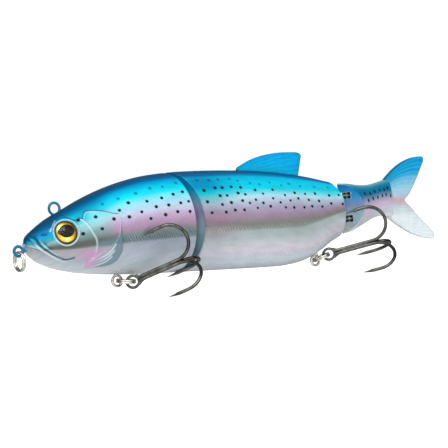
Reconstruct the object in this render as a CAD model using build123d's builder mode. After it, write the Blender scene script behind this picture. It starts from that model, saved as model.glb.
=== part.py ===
"""Three-section jointed swimbait, 180 mm class: moulded half shells over wire hardware.

The frame: origin at the centre of the nose line tie, +X towards the tail, +Z towards the back.
The fish faces -X, so its left side is -Y. All sizes are in millimetres.
"""
from build123d import *
import math
import os

os.makedirs("parts", exist_ok=True)

# ---------------------------------------------------------------- driving dimensions
# Stations along the fish: x, back height, belly height, half width.
STATIONS = [
    (2.4, 3.0, 0.6, 1.0),
    (3.2, 4.5, -1.1, 2.2),
    (5.5, 6.2, -3.6, 3.7),
    (10.0, 8.9, -6.2, 5.4),
    (18.0, 12.3, -8.8, 7.4),
    (27.0, 15.8, -10.5, 9.0),
    (37.0, 18.7, -11.7, 10.2),
    (48.0, 20.7, -12.7, 10.9),
    (60.0, 21.4, -13.5, 11.2),
    (73.0, 21.1, -14.3, 11.3),
    (86.0, 20.3, -15.1, 11.2),
    (98.0, 19.2, -15.8, 10.7),
    (108.0, 17.8, -16.1, 9.9),
    (116.0, 16.4, -15.3, 9.0),
    (124.0, 14.6, -12.6, 8.0),
    (130.0, 13.0, -9.7, 7.0),
    (136.5, 11.6, -7.5, 6.2),
    (141.0, 11.1, -6.6, 5.7),
    (146.0, 10.2, -4.9, 5.0),
    (151.0, 9.9, -3.1, 4.0),
    (156.0, 10.6, -2.4, 3.0),
    (160.0, 11.3, -3.2, 2.3),
    (162.5, 11.4, -4.0, 2.0),
]
NOSE_X = STATIONS[0][0]
TAIL_END_X = STATIONS[-1][0]
TOOL_REACH = 30.0            # how far cutting shapes run past the fish

# Head to body joint: a vertical pin in the body through two wire eyes of the head.
FRONT_HINGE_X = 67.8
FRONT_EYE_HEIGHTS = (10.3, -4.7)
CUP_X = 59.4                 # bottom of the shallow cup in the back of the head
CUP_SLOPE = 0.45             # the cup's rim lies this much further back per mm of width
WEDGE_X = 60.8               # tip of the body's front wedge
WEDGE_SLOPE = 0.635
FRONT_PIN_Z = (-9.0, 15.0)

# Body to tail joint: a vertical pin in the tail through two wire eyes of the body.
REAR_HINGE_X = 140.3
REAR_EYE_HEIGHTS = (6.7, -2.0)
BODY_END_X = 134.3
TAIL_WEDGE_X = 136.5
TAIL_WEDGE_SLOPE = 1.62
REAR_PIN_Z = (-4.6, 9.4)

PIN_RADIUS = 0.95
PIN_PLUG_RADIUS = 1.6
SLOT_HEIGHT = 2.4
SLOT_HALF_WIDTH = 2.4
SLOT_BEYOND_HINGE = 2.6

# Wire hardware
JOINT_WIRE = 0.55            # wire radii
JOINT_LOOP = 1.55            # mean loop radii
TIE_WIRE = 0.5
TIE_LOOP = 1.6
TOP_TIE_WIRE = 0.45
TOP_TIE_LOOP = 2.0
TOP_TIE_BORE = 1.6           # flat land inside the top line tie
HANGER_WIRE = 0.48
HANGER_LOOP = 1.82
FOOT_LENGTH = 1.2            # collar at the buried end of every shank

NOSE_TIE = (0, 0, 0)
TOP_TIE = (15.2, 0, 12.8)
TOP_TIE_SHANK = (0.5, 0, -0.866)
FRONT_HANGER = (36.4, 0, -13.8)
REAR_HANGER = (122.2, 0, -15.8)

# Split rings: two turns of wire
RING_RADIUS = 3.1
RING_WIRE = 0.37
TURN_PITCH = 0.70

# Treble hooks
HOOK_WIRE = 0.6
HOOK_EYE_WIRE = 0.5
HOOK_SHANK_OFFSET = 0.64     # each brazed shank from the common axis
HOOK_EYE = 2.1               # mean radius of the hook's eye
HOOK_BEND_START = 16.8       # along the axis from the centre of the eye
HOOK_BEND_RADIUS = 6.5
HOOK_POINT_START = 14.2
HOOK_POINT = (13.25, 9.9)    # the tip: from the axis, and along it

# Walls and inner parts
WALL = 2.0
HEAD_HOLLOW = (27.0, 48.0)
BODY_HOLLOW = (73.0, 108.0)
HEAD_KEEL_TOP = -5.5
BODY_KEEL_TOP = -8.0
HOLLOW_CEILING = 14.0
FIN_THICKNESS = 1.1
EYE_RADIUS = 3.85
EYE_DEPTH = 2.2
EYE_CENTRE = (15.2, 6.1, 4.45)
EYE_NORMAL = (-0.25, 1.0, 0.26)
LENS_RADIUS = 3.5
LENS_HEIGHT = 1.2


# ---------------------------------------------------------------- shared shapes
def make_skin(x_from, x_to, inset=0.0):
    """The fish's outer form between two stations, or the same form a wall's thickness inside."""
    with BuildPart() as skin:
        for x, back, belly, half_width in STATIONS:
            if x_from <= x <= x_to:
                with BuildSketch(Plane.YZ.offset(x)):
                    with Locations((0, (back + belly) / 2)):
                        Ellipse(half_width - inset, (back - belly) / 2 - inset)
        loft()
    return skin.part


def make_hollow(span, keel_top):
    """The air chamber: the skin one wall inside, above the keel and below the fin's root."""
    with BuildPart() as hollow:
        add(make_skin(*span, inset=WALL))
        with BuildSketch(Plane.XZ) as window:
            with Locations(((span[0] + span[1]) / 2, (keel_top + HOLLOW_CEILING) / 2)):
                Rectangle(span[1] - span[0] + WALL, HOLLOW_CEILING - keel_top)
        extrude(amount=TOOL_REACH, both=True, mode=Mode.INTERSECT)
    return hollow.part


def make_wedge_tool(tip_x, slope, away_x):
    """Everything on the far side of a V-shaped face, out to away_x, standing through the fish."""
    side = TOOL_REACH
    with BuildPart() as tool:
        with BuildSketch(Plane.XY.offset(-TOOL_REACH)):
            with BuildLine():
                Polyline(
                    (tip_x, 0),
                    (tip_x + slope * side, side),
                    (away_x, side),
                    (away_x, -side),
                    (tip_x + slope * side, -side),
                    close=True,
                )
            make_face()
        extrude(amount=2 * TOOL_REACH)
    return tool.part


def make_slots(hinge_x, tip_x, heights):
    """Square slots that the wire eyes swing in."""
    length = hinge_x + SLOT_BEYOND_HINGE - tip_x + 1.0
    with BuildPart() as slots:
        for height in heights:
            with Locations((hinge_x + SLOT_BEYOND_HINGE - length / 2, 0, height)):
                Box(length, 2 * SLOT_HALF_WIDTH, SLOT_HEIGHT)
    return slots.part


def make_wire_eye(loop, wire, shank, bore=0.0):
    """A closed wire loop in the XY plane with a shank along +X and a collar on its end."""
    with BuildPart() as eye:
        with BuildSketch(Plane.XZ):
            with Locations((loop, 0)):
                Circle(wire)
        revolve(axis=Axis.Z)
        with BuildSketch(Plane.YZ.offset(loop)):
            Circle(wire)
        extrude(amount=shank - loop)
        with BuildSketch(Plane.YZ.offset(shank - FOOT_LENGTH)):
            Circle(1.7 * wire)
        extrude(amount=FOOT_LENGTH)
        if bore:
            Cylinder(bore, 4 * wire, mode=Mode.SUBTRACT)
    return eye.part


def make_split_ring():
    """Two turns of ring wire pressed together, about the Z axis."""
    with BuildPart() as ring:
        with BuildSketch(Plane.XZ):
            with Locations((RING_RADIUS, TURN_PITCH / 2), (RING_RADIUS, -TURN_PITCH / 2)):
                Circle(RING_WIRE)
        revolve(axis=Axis.Z)
    return ring.part


def make_treble():
    """A treble hook: its eye in the XZ plane at the origin, its shank along +Z."""
    bend_r = HOOK_SHANK_OFFSET + HOOK_BEND_RADIUS
    outer_r = HOOK_SHANK_OFFSET + 2 * HOOK_BEND_RADIUS
    tip_r, tip_z = HOOK_POINT
    with BuildPart() as branch:
        with BuildLine() as path:
            Line((HOOK_SHANK_OFFSET, 0, HOOK_EYE), (HOOK_SHANK_OFFSET, 0, HOOK_BEND_START))
            ThreePointArc(
                (HOOK_SHANK_OFFSET, 0, HOOK_BEND_START),
                (bend_r, 0, HOOK_BEND_START + HOOK_BEND_RADIUS),
                (outer_r, 0, HOOK_BEND_START),
            )
            Line((outer_r, 0, HOOK_BEND_START), (outer_r, 0, HOOK_POINT_START))
        with BuildSketch(Plane.XY.offset(HOOK_EYE)):
            with Locations((HOOK_SHANK_OFFSET, 0)):
                Circle(HOOK_WIRE)
        sweep(path=path.line)
        with BuildSketch(Plane.XY.offset(HOOK_POINT_START)):
            with Locations((outer_r, 0)):
                Circle(HOOK_WIRE)
        with BuildSketch(Plane.XY.offset(tip_z)):
            with Locations((tip_r, 0)):
                Circle(0.06)
        loft()
        with BuildSketch(Plane.XZ):
            with BuildLine():
                Polyline(
                    (outer_r, HOOK_POINT_START - 1.6),
                    (outer_r - 0.95, HOOK_POINT_START - 0.4),
                    (outer_r, HOOK_POINT_START - 0.5),
                    close=True,
                )
            make_face()
        extrude(amount=0.16, both=True)
    with BuildPart() as treble:
        with PolarLocations(0, 3):
            add(branch.part)
        with BuildSketch(Plane.XY):
            with Locations((HOOK_EYE, 0)):
                Circle(HOOK_EYE_WIRE)
        revolve(axis=Axis.Y)
    return treble.part


def save(name, part):
    part.label = name
    export_step(part, f"parts/{name}.step")


def save_halves(name, blank):
    """Part a moulding along the middle of the fish into its left and right shells."""
    for side, keep in (("left", Keep.TOP), ("right", Keep.BOTTOM)):
        with BuildPart() as shell:
            add(blank)
            split(bisect_by=Plane.XZ, keep=keep)
        save(f"{name}_{side}", shell.part)


# ---------------------------------------------------------------- wire hardware
def along(origin, x_dir, z_dir):
    return Plane(origin=origin, x_dir=x_dir, z_dir=z_dir)


with BuildPart() as nose_line_tie:
    with Locations(along(NOSE_TIE, (1, 0, 0), (0, -1, 0))):
        add(make_wire_eye(TIE_LOOP, TIE_WIRE, 15.0))
save("nose_line_tie", nose_line_tie.part)

with BuildPart() as top_line_tie:
    with Locations(along(TOP_TIE, TOP_TIE_SHANK, (0, -1, 0))):
        add(make_wire_eye(TOP_TIE_LOOP, TOP_TIE_WIRE, 10.0, TOP_TIE_BORE))
save("top_line_tie", top_line_tie.part)

with BuildPart() as front_hook_hanger:
    with Locations(along(FRONT_HANGER, (0, 0, 1), (0, -1, 0))):
        add(make_wire_eye(HANGER_LOOP, HANGER_WIRE, 7.6))
save("front_hook_hanger", front_hook_hanger.part)

with BuildPart() as rear_hook_hanger:
    with Locations(along(REAR_HANGER, (0.3, 0, 1), (0, -1, 0))):
        add(make_wire_eye(HANGER_LOOP, HANGER_WIRE, 9.5))
save("rear_hook_hanger", rear_hook_hanger.part)

joint_eyes = {}
for joint, hinge_x, heights in (
    ("front", FRONT_HINGE_X, FRONT_EYE_HEIGHTS),
    ("rear", REAR_HINGE_X, REAR_EYE_HEIGHTS),
):
    for level, height in zip(("upper", "lower"), heights):
        with BuildPart() as joint_eye:
            with Locations(along((hinge_x, 0, height), (-1, 0, 0), (0, 0, 1))):
                add(make_wire_eye(JOINT_LOOP, JOINT_WIRE, 15.0))
        joint_eyes[joint, level] = joint_eye.part
        save(f"{joint}_joint_eye_{level}", joint_eye.part)


# ---------------------------------------------------------------- pins, plugs and weights
def make_post(x, radius, z_from, z_to):
    with BuildPart() as post:
        with BuildSketch(Plane.XY.offset(z_from)):
            with Locations((x, 0)):
                Circle(radius)
        extrude(amount=z_to - z_from)
    return post.part


def make_pin_plug(x, z_to, skin):
    """The plug under a hinge pin, cut flush with the belly."""
    with BuildPart() as plug:
        add(make_post(x, PIN_PLUG_RADIUS, -TOOL_REACH, z_to))
        add(skin, mode=Mode.INTERSECT)
    return plug.part


def make_weight(x_from, x_to, radius, height):
    with BuildPart() as weight:
        with BuildSketch(Plane.YZ.offset(x_from)):
            with Locations((0, height)):
                Circle(radius)
        extrude(amount=x_to - x_from)
        chamfer(weight.edges().filter_by(GeomType.CIRCLE), length=0.5)
    return weight.part


head_skin = make_skin(NOSE_X, 73)
body_skin = make_skin(48, 141)
tail_skin = make_skin(130, TAIL_END_X)

front_hinge_pin = make_post(FRONT_HINGE_X, PIN_RADIUS, *FRONT_PIN_Z)
front_pin_plug = make_pin_plug(FRONT_HINGE_X, FRONT_PIN_Z[0], body_skin)
rear_hinge_pin = make_post(REAR_HINGE_X, PIN_RADIUS, *REAR_PIN_Z)
rear_pin_plug = make_pin_plug(REAR_HINGE_X, REAR_PIN_Z[0], tail_skin)
head_weight = make_weight(43, 57, 2.5, -9.6)
body_weight_front = make_weight(76, 90, 2.6, -11.0)
body_weight_rear = make_weight(96, 110, 2.6, -11.8)

save("front_hinge_pin", front_hinge_pin)
save("front_pin_plug", front_pin_plug)
save("rear_hinge_pin", rear_hinge_pin)
save("rear_pin_plug", rear_pin_plug)
save("head_weight", head_weight)
save("body_weight_front", body_weight_front)
save("body_weight_rear", body_weight_rear)

# ---------------------------------------------------------------- fins
with BuildPart() as dorsal_fin:
    with BuildSketch(Plane.XZ):
        with BuildLine():
            Spline((91.0, 19.4), (97.3, 23.0), (103.2, 24.3), (109.1, 24.9), (114.9, 24.8), (120.8, 24.0))
            Spline((120.8, 24.0), (120.3, 20.9), (119.4, 18.2), (117.8, 15.4))
            Polyline((117.8, 15.4), (116.4, 15.4), (115.8, 12.9), (98.2, 15.9), (98.2, 18.2), (91.0, 19.4))
        make_face()
    extrude(amount=FIN_THICKNESS / 2, both=True)
save("dorsal_fin", dorsal_fin.part)

with BuildPart() as tail_fin:
    with BuildSketch(Plane.XZ):
        with BuildLine():
            Polyline((161.0, 9.0), (154.5, 8.0), (154.5, -0.6), (160.0, -2.0))
            Spline((160.0, -2.0), (161.4, -5.2), (166.0, -8.2), (173.5, -11.4), (179.2, -13.1))
            Spline((179.2, -13.1), (181.9, -12.9), (180.4, -9.6))
            Spline((180.4, -9.6), (175.9, -5.2), (170.8, -0.1), (168.5, 2.6))
            Spline((168.5, 2.6), (170.8, 4.6), (174.4, 8.8), (178.1, 14.0))
            Spline((178.1, 14.0), (180.3, 18.0), (179.2, 18.6))
            Spline((179.2, 18.6), (175.1, 18.3), (169.9, 17.2), (164.4, 14.8), (161.6, 12.4), (161.0, 9.0))
        make_face()
    extrude(amount=FIN_THICKNESS / 2, both=True)
    with BuildSketch(Plane.XZ):
        with Locations((158.0, 4.0)):
            Circle(0.8)
    extrude(amount=FIN_THICKNESS, both=True, mode=Mode.SUBTRACT)
save("tail_fin", tail_fin.part)

with BuildPart() as tail_fin_pin:
    with BuildSketch(Plane.XZ):
        with Locations((158.0, 4.0)):
            Circle(0.8)
    extrude(amount=1.6, both=True)
save("tail_fin_pin", tail_fin_pin.part)

# ---------------------------------------------------------------- eyes
eye_sockets = []
for side, hand in (("left", -1), ("right", 1)):
    seat = Plane(
        origin=(EYE_CENTRE[0], hand * EYE_CENTRE[1], EYE_CENTRE[2]),
        z_dir=(EYE_NORMAL[0], hand * EYE_NORMAL[1], EYE_NORMAL[2]),
    )
    with BuildPart() as eye:
        with BuildSketch(seat):
            Circle(EYE_RADIUS)
        extrude(amount=-EYE_DEPTH)
    save(f"eye_{side}", eye.part)
    with BuildPart() as socket:
        with BuildSketch(seat.offset(-EYE_DEPTH)):
            Circle(EYE_RADIUS)
        extrude(amount=3 * EYE_DEPTH)
    eye_sockets.append(socket.part)
    with BuildPart() as lens:
        with BuildSketch(Plane.XZ):
            with BuildLine():
                Polyline((0, LENS_HEIGHT), (0, 0), (LENS_RADIUS, 0))
                CenterArc(
                    (0, LENS_HEIGHT / 2 - LENS_RADIUS**2 / (2 * LENS_HEIGHT)),
                    LENS_HEIGHT / 2 + LENS_RADIUS**2 / (2 * LENS_HEIGHT),
                    math.degrees(math.atan2(
                        LENS_RADIUS**2 / (2 * LENS_HEIGHT) - LENS_HEIGHT / 2, LENS_RADIUS)),
                    90 - math.degrees(math.atan2(
                        LENS_RADIUS**2 / (2 * LENS_HEIGHT) - LENS_HEIGHT / 2, LENS_RADIUS)),
                )
            make_face()
        revolve(axis=Axis.Z)
    with BuildPart() as eye_lens:
        with Locations(seat):
            add(lens.part)
    save(f"eye_lens_{side}", eye_lens.part)

# ---------------------------------------------------------------- half shells
with BuildPart() as head:
    add(head_skin)
    add(make_wedge_tool(CUP_X, CUP_SLOPE, 90), mode=Mode.SUBTRACT)
    add(make_hollow(HEAD_HOLLOW, HEAD_KEEL_TOP), mode=Mode.SUBTRACT)
    add(nose_line_tie.part, mode=Mode.SUBTRACT)
    add(top_line_tie.part, mode=Mode.SUBTRACT)
    add(front_hook_hanger.part, mode=Mode.SUBTRACT)
    add(joint_eyes["front", "upper"], mode=Mode.SUBTRACT)
    add(joint_eyes["front", "lower"], mode=Mode.SUBTRACT)
    add(head_weight, mode=Mode.SUBTRACT)
    for socket in eye_sockets:
        add(socket, mode=Mode.SUBTRACT)
save_halves("head_shell", head.part)

with BuildPart() as body:
    add(body_skin)
    add(make_wedge_tool(WEDGE_X, WEDGE_SLOPE, 30), mode=Mode.SUBTRACT)
    with BuildSketch(Plane.YZ.offset(BODY_END_X)):
        Rectangle(2 * TOOL_REACH, 2 * TOOL_REACH)
    extrude(amount=TOOL_REACH, mode=Mode.SUBTRACT)
    add(make_hollow(BODY_HOLLOW, BODY_KEEL_TOP), mode=Mode.SUBTRACT)
    add(make_slots(FRONT_HINGE_X, WEDGE_X, FRONT_EYE_HEIGHTS), mode=Mode.SUBTRACT)
    add(front_hinge_pin, mode=Mode.SUBTRACT)
    add(front_pin_plug, mode=Mode.SUBTRACT)
    add(joint_eyes["rear", "upper"], mode=Mode.SUBTRACT)
    add(joint_eyes["rear", "lower"], mode=Mode.SUBTRACT)
    add(rear_hook_hanger.part, mode=Mode.SUBTRACT)
    add(dorsal_fin.part, mode=Mode.SUBTRACT)
    add(body_weight_front, mode=Mode.SUBTRACT)
    add(body_weight_rear, mode=Mode.SUBTRACT)
save_halves("body_shell", body.part)

with BuildPart() as tail:
    add(tail_skin)
    add(make_wedge_tool(TAIL_WEDGE_X, TAIL_WEDGE_SLOPE, 100), mode=Mode.SUBTRACT)
    add(make_slots(REAR_HINGE_X, TAIL_WEDGE_X, REAR_EYE_HEIGHTS), mode=Mode.SUBTRACT)
    add(rear_hinge_pin, mode=Mode.SUBTRACT)
    add(rear_pin_plug, mode=Mode.SUBTRACT)
    add(tail_fin.part, mode=Mode.SUBTRACT)
    add(tail_fin_pin.part, mode=Mode.SUBTRACT)
save_halves("tail_shell", tail.part)

# ---------------------------------------------------------------- split rings and hooks
UP = Vector(0, 0, 1)
NOSE_RING_DROP = 3.4         # the nose ring's centre hangs this far below its line tie

# Where each hook's eye lies, and which way its shank and its upper branch point.
FRONT_HOOK = Plane(origin=(40.0, -4.3, -14.7), x_dir=(-0.395, -0.041, 0.918), z_dir=(0.753, -0.588, 0.297))
REAR_HOOK = Plane(origin=(127.3, -2.1, -14.15), x_dir=(-0.274, -0.121, 0.954), z_dir=(0.794, -0.588, 0.154))


def ring_plane(hanger, hook_eye):
    """The plane of the ring that links a hanger and a hook's eye, at the ring's centre."""
    chord = Vector(hook_eye) - Vector(hanger)
    across = UP.cross(chord).normalized()
    centre_offset = math.sqrt(RING_RADIUS**2 - (chord.length / 2) ** 2)
    centre = Vector(hanger) + chord / 2 + across * centre_offset
    return Plane(origin=centre, z_dir=chord.cross(across))


ring_planes = {
    "nose_split_ring": Plane(origin=(0, 0, -NOSE_RING_DROP), z_dir=(1, 0, 0)),
    "front_split_ring": ring_plane(FRONT_HANGER, FRONT_HOOK.origin),
    "rear_split_ring": ring_plane(REAR_HANGER, REAR_HOOK.origin),
}
for name, plane in ring_planes.items():
    with BuildPart() as split_ring:
        with Locations(plane):
            add(make_split_ring())
    save(name, split_ring.part)

for name, plane in (("front_treble_hook", FRONT_HOOK), ("rear_treble_hook", REAR_HOOK)):
    with BuildPart() as treble_hook:
        with Locations(plane):
            add(make_treble())
    save(name, treble_hook.part)
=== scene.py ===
"""Looks of a three-section jointed swimbait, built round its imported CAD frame.

Shapes are worked out in millimetres in the CAD frame: +X to the tail, +Z to the back, and the
fish's left side is -Y. A point on the skin is given by its station x and its angle round the
section, in degrees: 0 on the back, 90 on the flank, 180 on the belly.
"""
import math

import bpy
import numpy as np
from mathutils import Matrix, Vector


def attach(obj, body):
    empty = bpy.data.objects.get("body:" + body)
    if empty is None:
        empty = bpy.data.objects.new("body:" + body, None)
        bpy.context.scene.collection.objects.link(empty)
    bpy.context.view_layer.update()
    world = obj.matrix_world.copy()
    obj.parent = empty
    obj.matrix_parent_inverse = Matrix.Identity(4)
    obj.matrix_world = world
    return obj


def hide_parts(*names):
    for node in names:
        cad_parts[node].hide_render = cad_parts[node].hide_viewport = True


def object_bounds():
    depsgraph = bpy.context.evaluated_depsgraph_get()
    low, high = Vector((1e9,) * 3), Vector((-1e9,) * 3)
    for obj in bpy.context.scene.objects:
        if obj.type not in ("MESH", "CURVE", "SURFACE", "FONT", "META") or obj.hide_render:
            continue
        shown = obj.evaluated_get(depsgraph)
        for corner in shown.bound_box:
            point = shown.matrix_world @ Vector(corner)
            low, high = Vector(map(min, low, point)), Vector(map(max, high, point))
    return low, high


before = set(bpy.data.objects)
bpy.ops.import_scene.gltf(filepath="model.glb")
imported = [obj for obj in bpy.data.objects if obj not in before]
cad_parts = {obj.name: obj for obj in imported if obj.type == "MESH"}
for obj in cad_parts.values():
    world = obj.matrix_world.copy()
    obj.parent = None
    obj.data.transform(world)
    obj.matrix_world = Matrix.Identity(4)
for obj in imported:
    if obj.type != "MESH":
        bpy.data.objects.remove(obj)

CAD_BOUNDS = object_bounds()
MM = 0.001

# Stations along the fish: x, back height, belly height, half width.
STATIONS = np.array([
    (2.4, 3.0, 0.6, 1.0),
    (3.2, 4.5, -1.1, 2.2),
    (5.5, 6.2, -3.6, 3.7),
    (10.0, 8.9, -6.2, 5.4),
    (18.0, 12.3, -8.8, 7.4),
    (27.0, 15.8, -10.5, 9.0),
    (37.0, 18.7, -11.7, 10.2),
    (48.0, 20.7, -12.7, 10.9),
    (60.0, 21.4, -13.5, 11.2),
    (73.0, 21.1, -14.3, 11.3),
    (86.0, 20.3, -15.1, 11.2),
    (98.0, 19.2, -15.8, 10.7),
    (108.0, 17.8, -16.1, 9.9),
    (116.0, 16.4, -15.3, 9.0),
    (124.0, 14.6, -12.6, 8.0),
    (130.0, 13.0, -9.7, 7.0),
    (136.5, 11.6, -7.5, 6.2),
    (141.0, 11.1, -6.6, 5.7),
    (146.0, 10.2, -4.9, 5.0),
    (151.0, 9.9, -3.1, 4.0),
    (156.0, 10.6, -2.4, 3.0),
    (160.0, 11.3, -3.2, 2.3),
    (162.5, 11.4, -4.0, 2.0),
])
NOSE_X = STATIONS[0, 0]
TAIL_END_X = STATIONS[-1, 0]
TAIL_SKIN_END = 161.2

# Joints, as in the CAD model: V-shaped faces x = tip + slope * |y|
CUP_X, CUP_SLOPE = 59.4, 0.45
WEDGE_X, WEDGE_SLOPE = 60.8, 0.635
BODY_END_X = 134.3
TAIL_WEDGE_X, TAIL_WEDGE_SLOPE = 136.5, 1.62
FRONT_HINGE_X, FRONT_EYE_HEIGHTS = 67.8, (10.3, -4.7)
REAR_HINGE_X, REAR_EYE_HEIGHTS = 140.3, (6.7, -2.0)
SLOT_HALF, SLOT_BEYOND = (2.4, 1.2), 2.6

EYE_CENTRE = Vector((15.2, -6.1, 4.45))
EYE_NORMAL = Vector((-0.25, -1.0, 0.26)).normalized()
EYE_RADIUS = 3.85


# ---------------------------------------------------------------- small helpers
def srgb(hex_colour):
    """A linear RGBA from a colour written the usual way."""
    values = [int(hex_colour[i:i + 2], 16) / 255 for i in (0, 2, 4)]
    linear = [v / 12.92 if v <= 0.04045 else ((v + 0.055) / 1.055) ** 2.4 for v in values]
    return (*linear, 1.0)


def smooth(value, low, high):
    """0 at low, 1 at high, with a smooth step between. low may be above high."""
    t = np.clip((value - low) / (high - low), 0.0, 1.0)
    return t * t * (3 - 2 * t)


def curve_through(knots, values, at):
    """A smooth curve through the knots, by Hermite spans with averaged slopes."""
    steps = np.diff(values) / np.diff(knots)
    widths = np.diff(knots)
    slopes = np.empty_like(values)
    slopes[0], slopes[-1] = steps[0], steps[-1]
    slopes[1:-1] = (steps[:-1] * widths[1:] + steps[1:] * widths[:-1]) / (widths[1:] + widths[:-1])
    at = np.asarray(at, float)
    i = np.clip(np.searchsorted(knots, at) - 1, 0, len(widths) - 1)
    t = (at - knots[i]) / widths[i]
    a, b = values[i], values[i + 1]
    ma, mb = slopes[i] * widths[i], slopes[i + 1] * widths[i]
    return ((2 * t**3 - 3 * t**2 + 1) * a + (t**3 - 2 * t**2 + t) * ma
            + (3 * t**2 - 2 * t**3) * b + (t**3 - t**2) * mb)


def section(x):
    """Middle height, half height and half width of the fish at x."""
    back, belly, half = (curve_through(STATIONS[:, 0], STATIONS[:, k], x) for k in (1, 2, 3))
    return (back + belly) / 2, (back - belly) / 2, half


def skin_points(x, angle, inset=0.0):
    """Points on the left side of the skin. angle in degrees; over 180 comes up the right side."""
    middle, half_height, half_width = section(x)
    turn = np.radians(angle)
    y = -(half_width - inset) * np.sin(turn)
    z = middle + (half_height - inset) * np.cos(turn)
    return np.stack([np.broadcast_to(x, y.shape), y, z], axis=-1)


def skin_normals(x, angle):
    """Outward normals of the smooth skin, by small steps along and round it."""
    step = 0.05
    along = skin_points(x + step, angle) - skin_points(x - step, angle)
    around = skin_points(x, angle + step) - skin_points(x, angle - step)
    normal = np.cross(around, along)
    return normal / np.maximum(np.linalg.norm(normal, axis=-1, keepdims=True), 1e-9)


def make_mesh(name, verts, faces, smooth_angle=40.0):
    """An object from points in millimetres, shaded smooth up to an angle in degrees."""
    mesh = bpy.data.meshes.new(name)
    mesh.from_pydata((np.asarray(verts, float) * MM).tolist(), [], [list(map(int, f)) for f in faces])
    mesh.validate()
    mesh.update()
    mesh.shade_smooth()
    mesh.set_sharp_from_angle(angle=math.radians(smooth_angle))
    piece = bpy.data.objects.new(name, mesh)
    bpy.context.scene.collection.objects.link(piece)
    return piece


def add_attribute(piece, name, values):
    layer = piece.data.attributes.new(name, "FLOAT", "POINT")
    layer.data.foreach_set("value", np.asarray(values, np.float32).ravel())


def finish_piece(piece, body, slot, *nodes):
    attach(piece, body)
    if nodes:
        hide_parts(*nodes)
    return piece


# ---------------------------------------------------------------- material graphs
class Graph:
    """A node material with one Principled surface, built by short calls."""

    def __init__(self, name):
        self.material = bpy.data.materials.new(name)
        self.material.use_nodes = True
        self.nodes = self.material.node_tree.nodes
        self.links = self.material.node_tree.links
        self.nodes.clear()
        self.output = self.nodes.new("ShaderNodeOutputMaterial")
        self.shader = self.nodes.new("ShaderNodeBsdfPrincipled")
        self.links.new(self.shader.outputs[0], self.output.inputs[0])

    def put(self, socket, value):
        if isinstance(value, bpy.types.NodeSocket):
            self.links.new(value, socket)
        elif value is not None:
            socket.default_value = value

    def set(self, **values):
        for name, value in values.items():
            self.put(self.shader.inputs[name.replace("_", " ")], value)

    def attribute(self, name):
        node = self.nodes.new("ShaderNodeAttribute")
        node.attribute_name = name
        return node.outputs["Fac"]

    def math(self, operation, a, b=None, clamp=False):
        node = self.nodes.new("ShaderNodeMath")
        node.operation = operation
        node.use_clamp = clamp
        self.put(node.inputs[0], a)
        self.put(node.inputs[1], b)
        return node.outputs[0]

    def step(self, value, low, high, out_low=0.0, out_high=1.0):
        node = self.nodes.new("ShaderNodeMapRange")
        node.interpolation_type = "SMOOTHSTEP"
        for socket, number in zip(node.inputs, (value, low, high, out_low, out_high)):
            self.put(socket, number)
        return node.outputs[0]

    def ramp(self, value, stops):
        """stops: (position from 0 to 1, hex colour), in order."""
        node = self.nodes.new("ShaderNodeValToRGB")
        elements = node.color_ramp.elements
        while len(elements) < len(stops):
            elements.new(0.5)
        for element, (position, colour) in zip(elements, stops):
            element.position = position
        for element, (position, colour) in zip(elements, stops):
            element.color = srgb(colour)
        self.put(node.inputs[0], value)
        return node.outputs[0]

    def mix(self, factor, a, b, blend="MIX"):
        node = self.nodes.new("ShaderNodeMix")
        node.data_type = "RGBA"
        node.blend_type = blend
        self.put(node.inputs["Factor"], factor)
        self.put(node.inputs[6], srgb(a) if isinstance(a, str) else a)
        self.put(node.inputs[7], srgb(b) if isinstance(b, str) else b)
        return node.outputs[2]

    def position(self, scale):
        """Object coordinates, in units of 1 / scale metres."""
        node = self.nodes.new("ShaderNodeTexCoord")
        mapping = self.nodes.new("ShaderNodeMapping")
        mapping.inputs["Scale"].default_value = (scale, scale, scale)
        self.links.new(node.outputs["Object"], mapping.inputs[0])
        return mapping.outputs[0]

    def combine(self, x, y, z=0.0):
        node = self.nodes.new("ShaderNodeCombineXYZ")
        for socket, value in zip(node.inputs, (x, y, z)):
            self.put(socket, value)
        return node.outputs[0]

    def noise(self, vector, scale, detail=3.0, roughness=0.5):
        node = self.nodes.new("ShaderNodeTexNoise")
        self.put(node.inputs["Vector"], vector)
        for name, value in (("Scale", scale), ("Detail", detail), ("Roughness", roughness)):
            node.inputs[name].default_value = value
        return node.outputs["Fac"]

    def voronoi(self, vector, scale, randomness):
        node = self.nodes.new("ShaderNodeTexVoronoi")
        self.put(node.inputs["Vector"], vector)
        node.inputs["Scale"].default_value = scale
        node.inputs["Randomness"].default_value = randomness
        return node.outputs["Distance"]

    def bump(self, height, strength, distance):
        node = self.nodes.new("ShaderNodeBump")
        node.inputs["Strength"].default_value = strength
        node.inputs["Distance"].default_value = distance * MM
        self.put(node.inputs["Height"], height)
        self.links.new(node.outputs[0], self.shader.inputs["Normal"])


def by_angle(stops):
    """Ramp stops given by the angle round the section, in degrees."""
    return [(angle / 180, colour) for angle, colour in stops]


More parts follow.
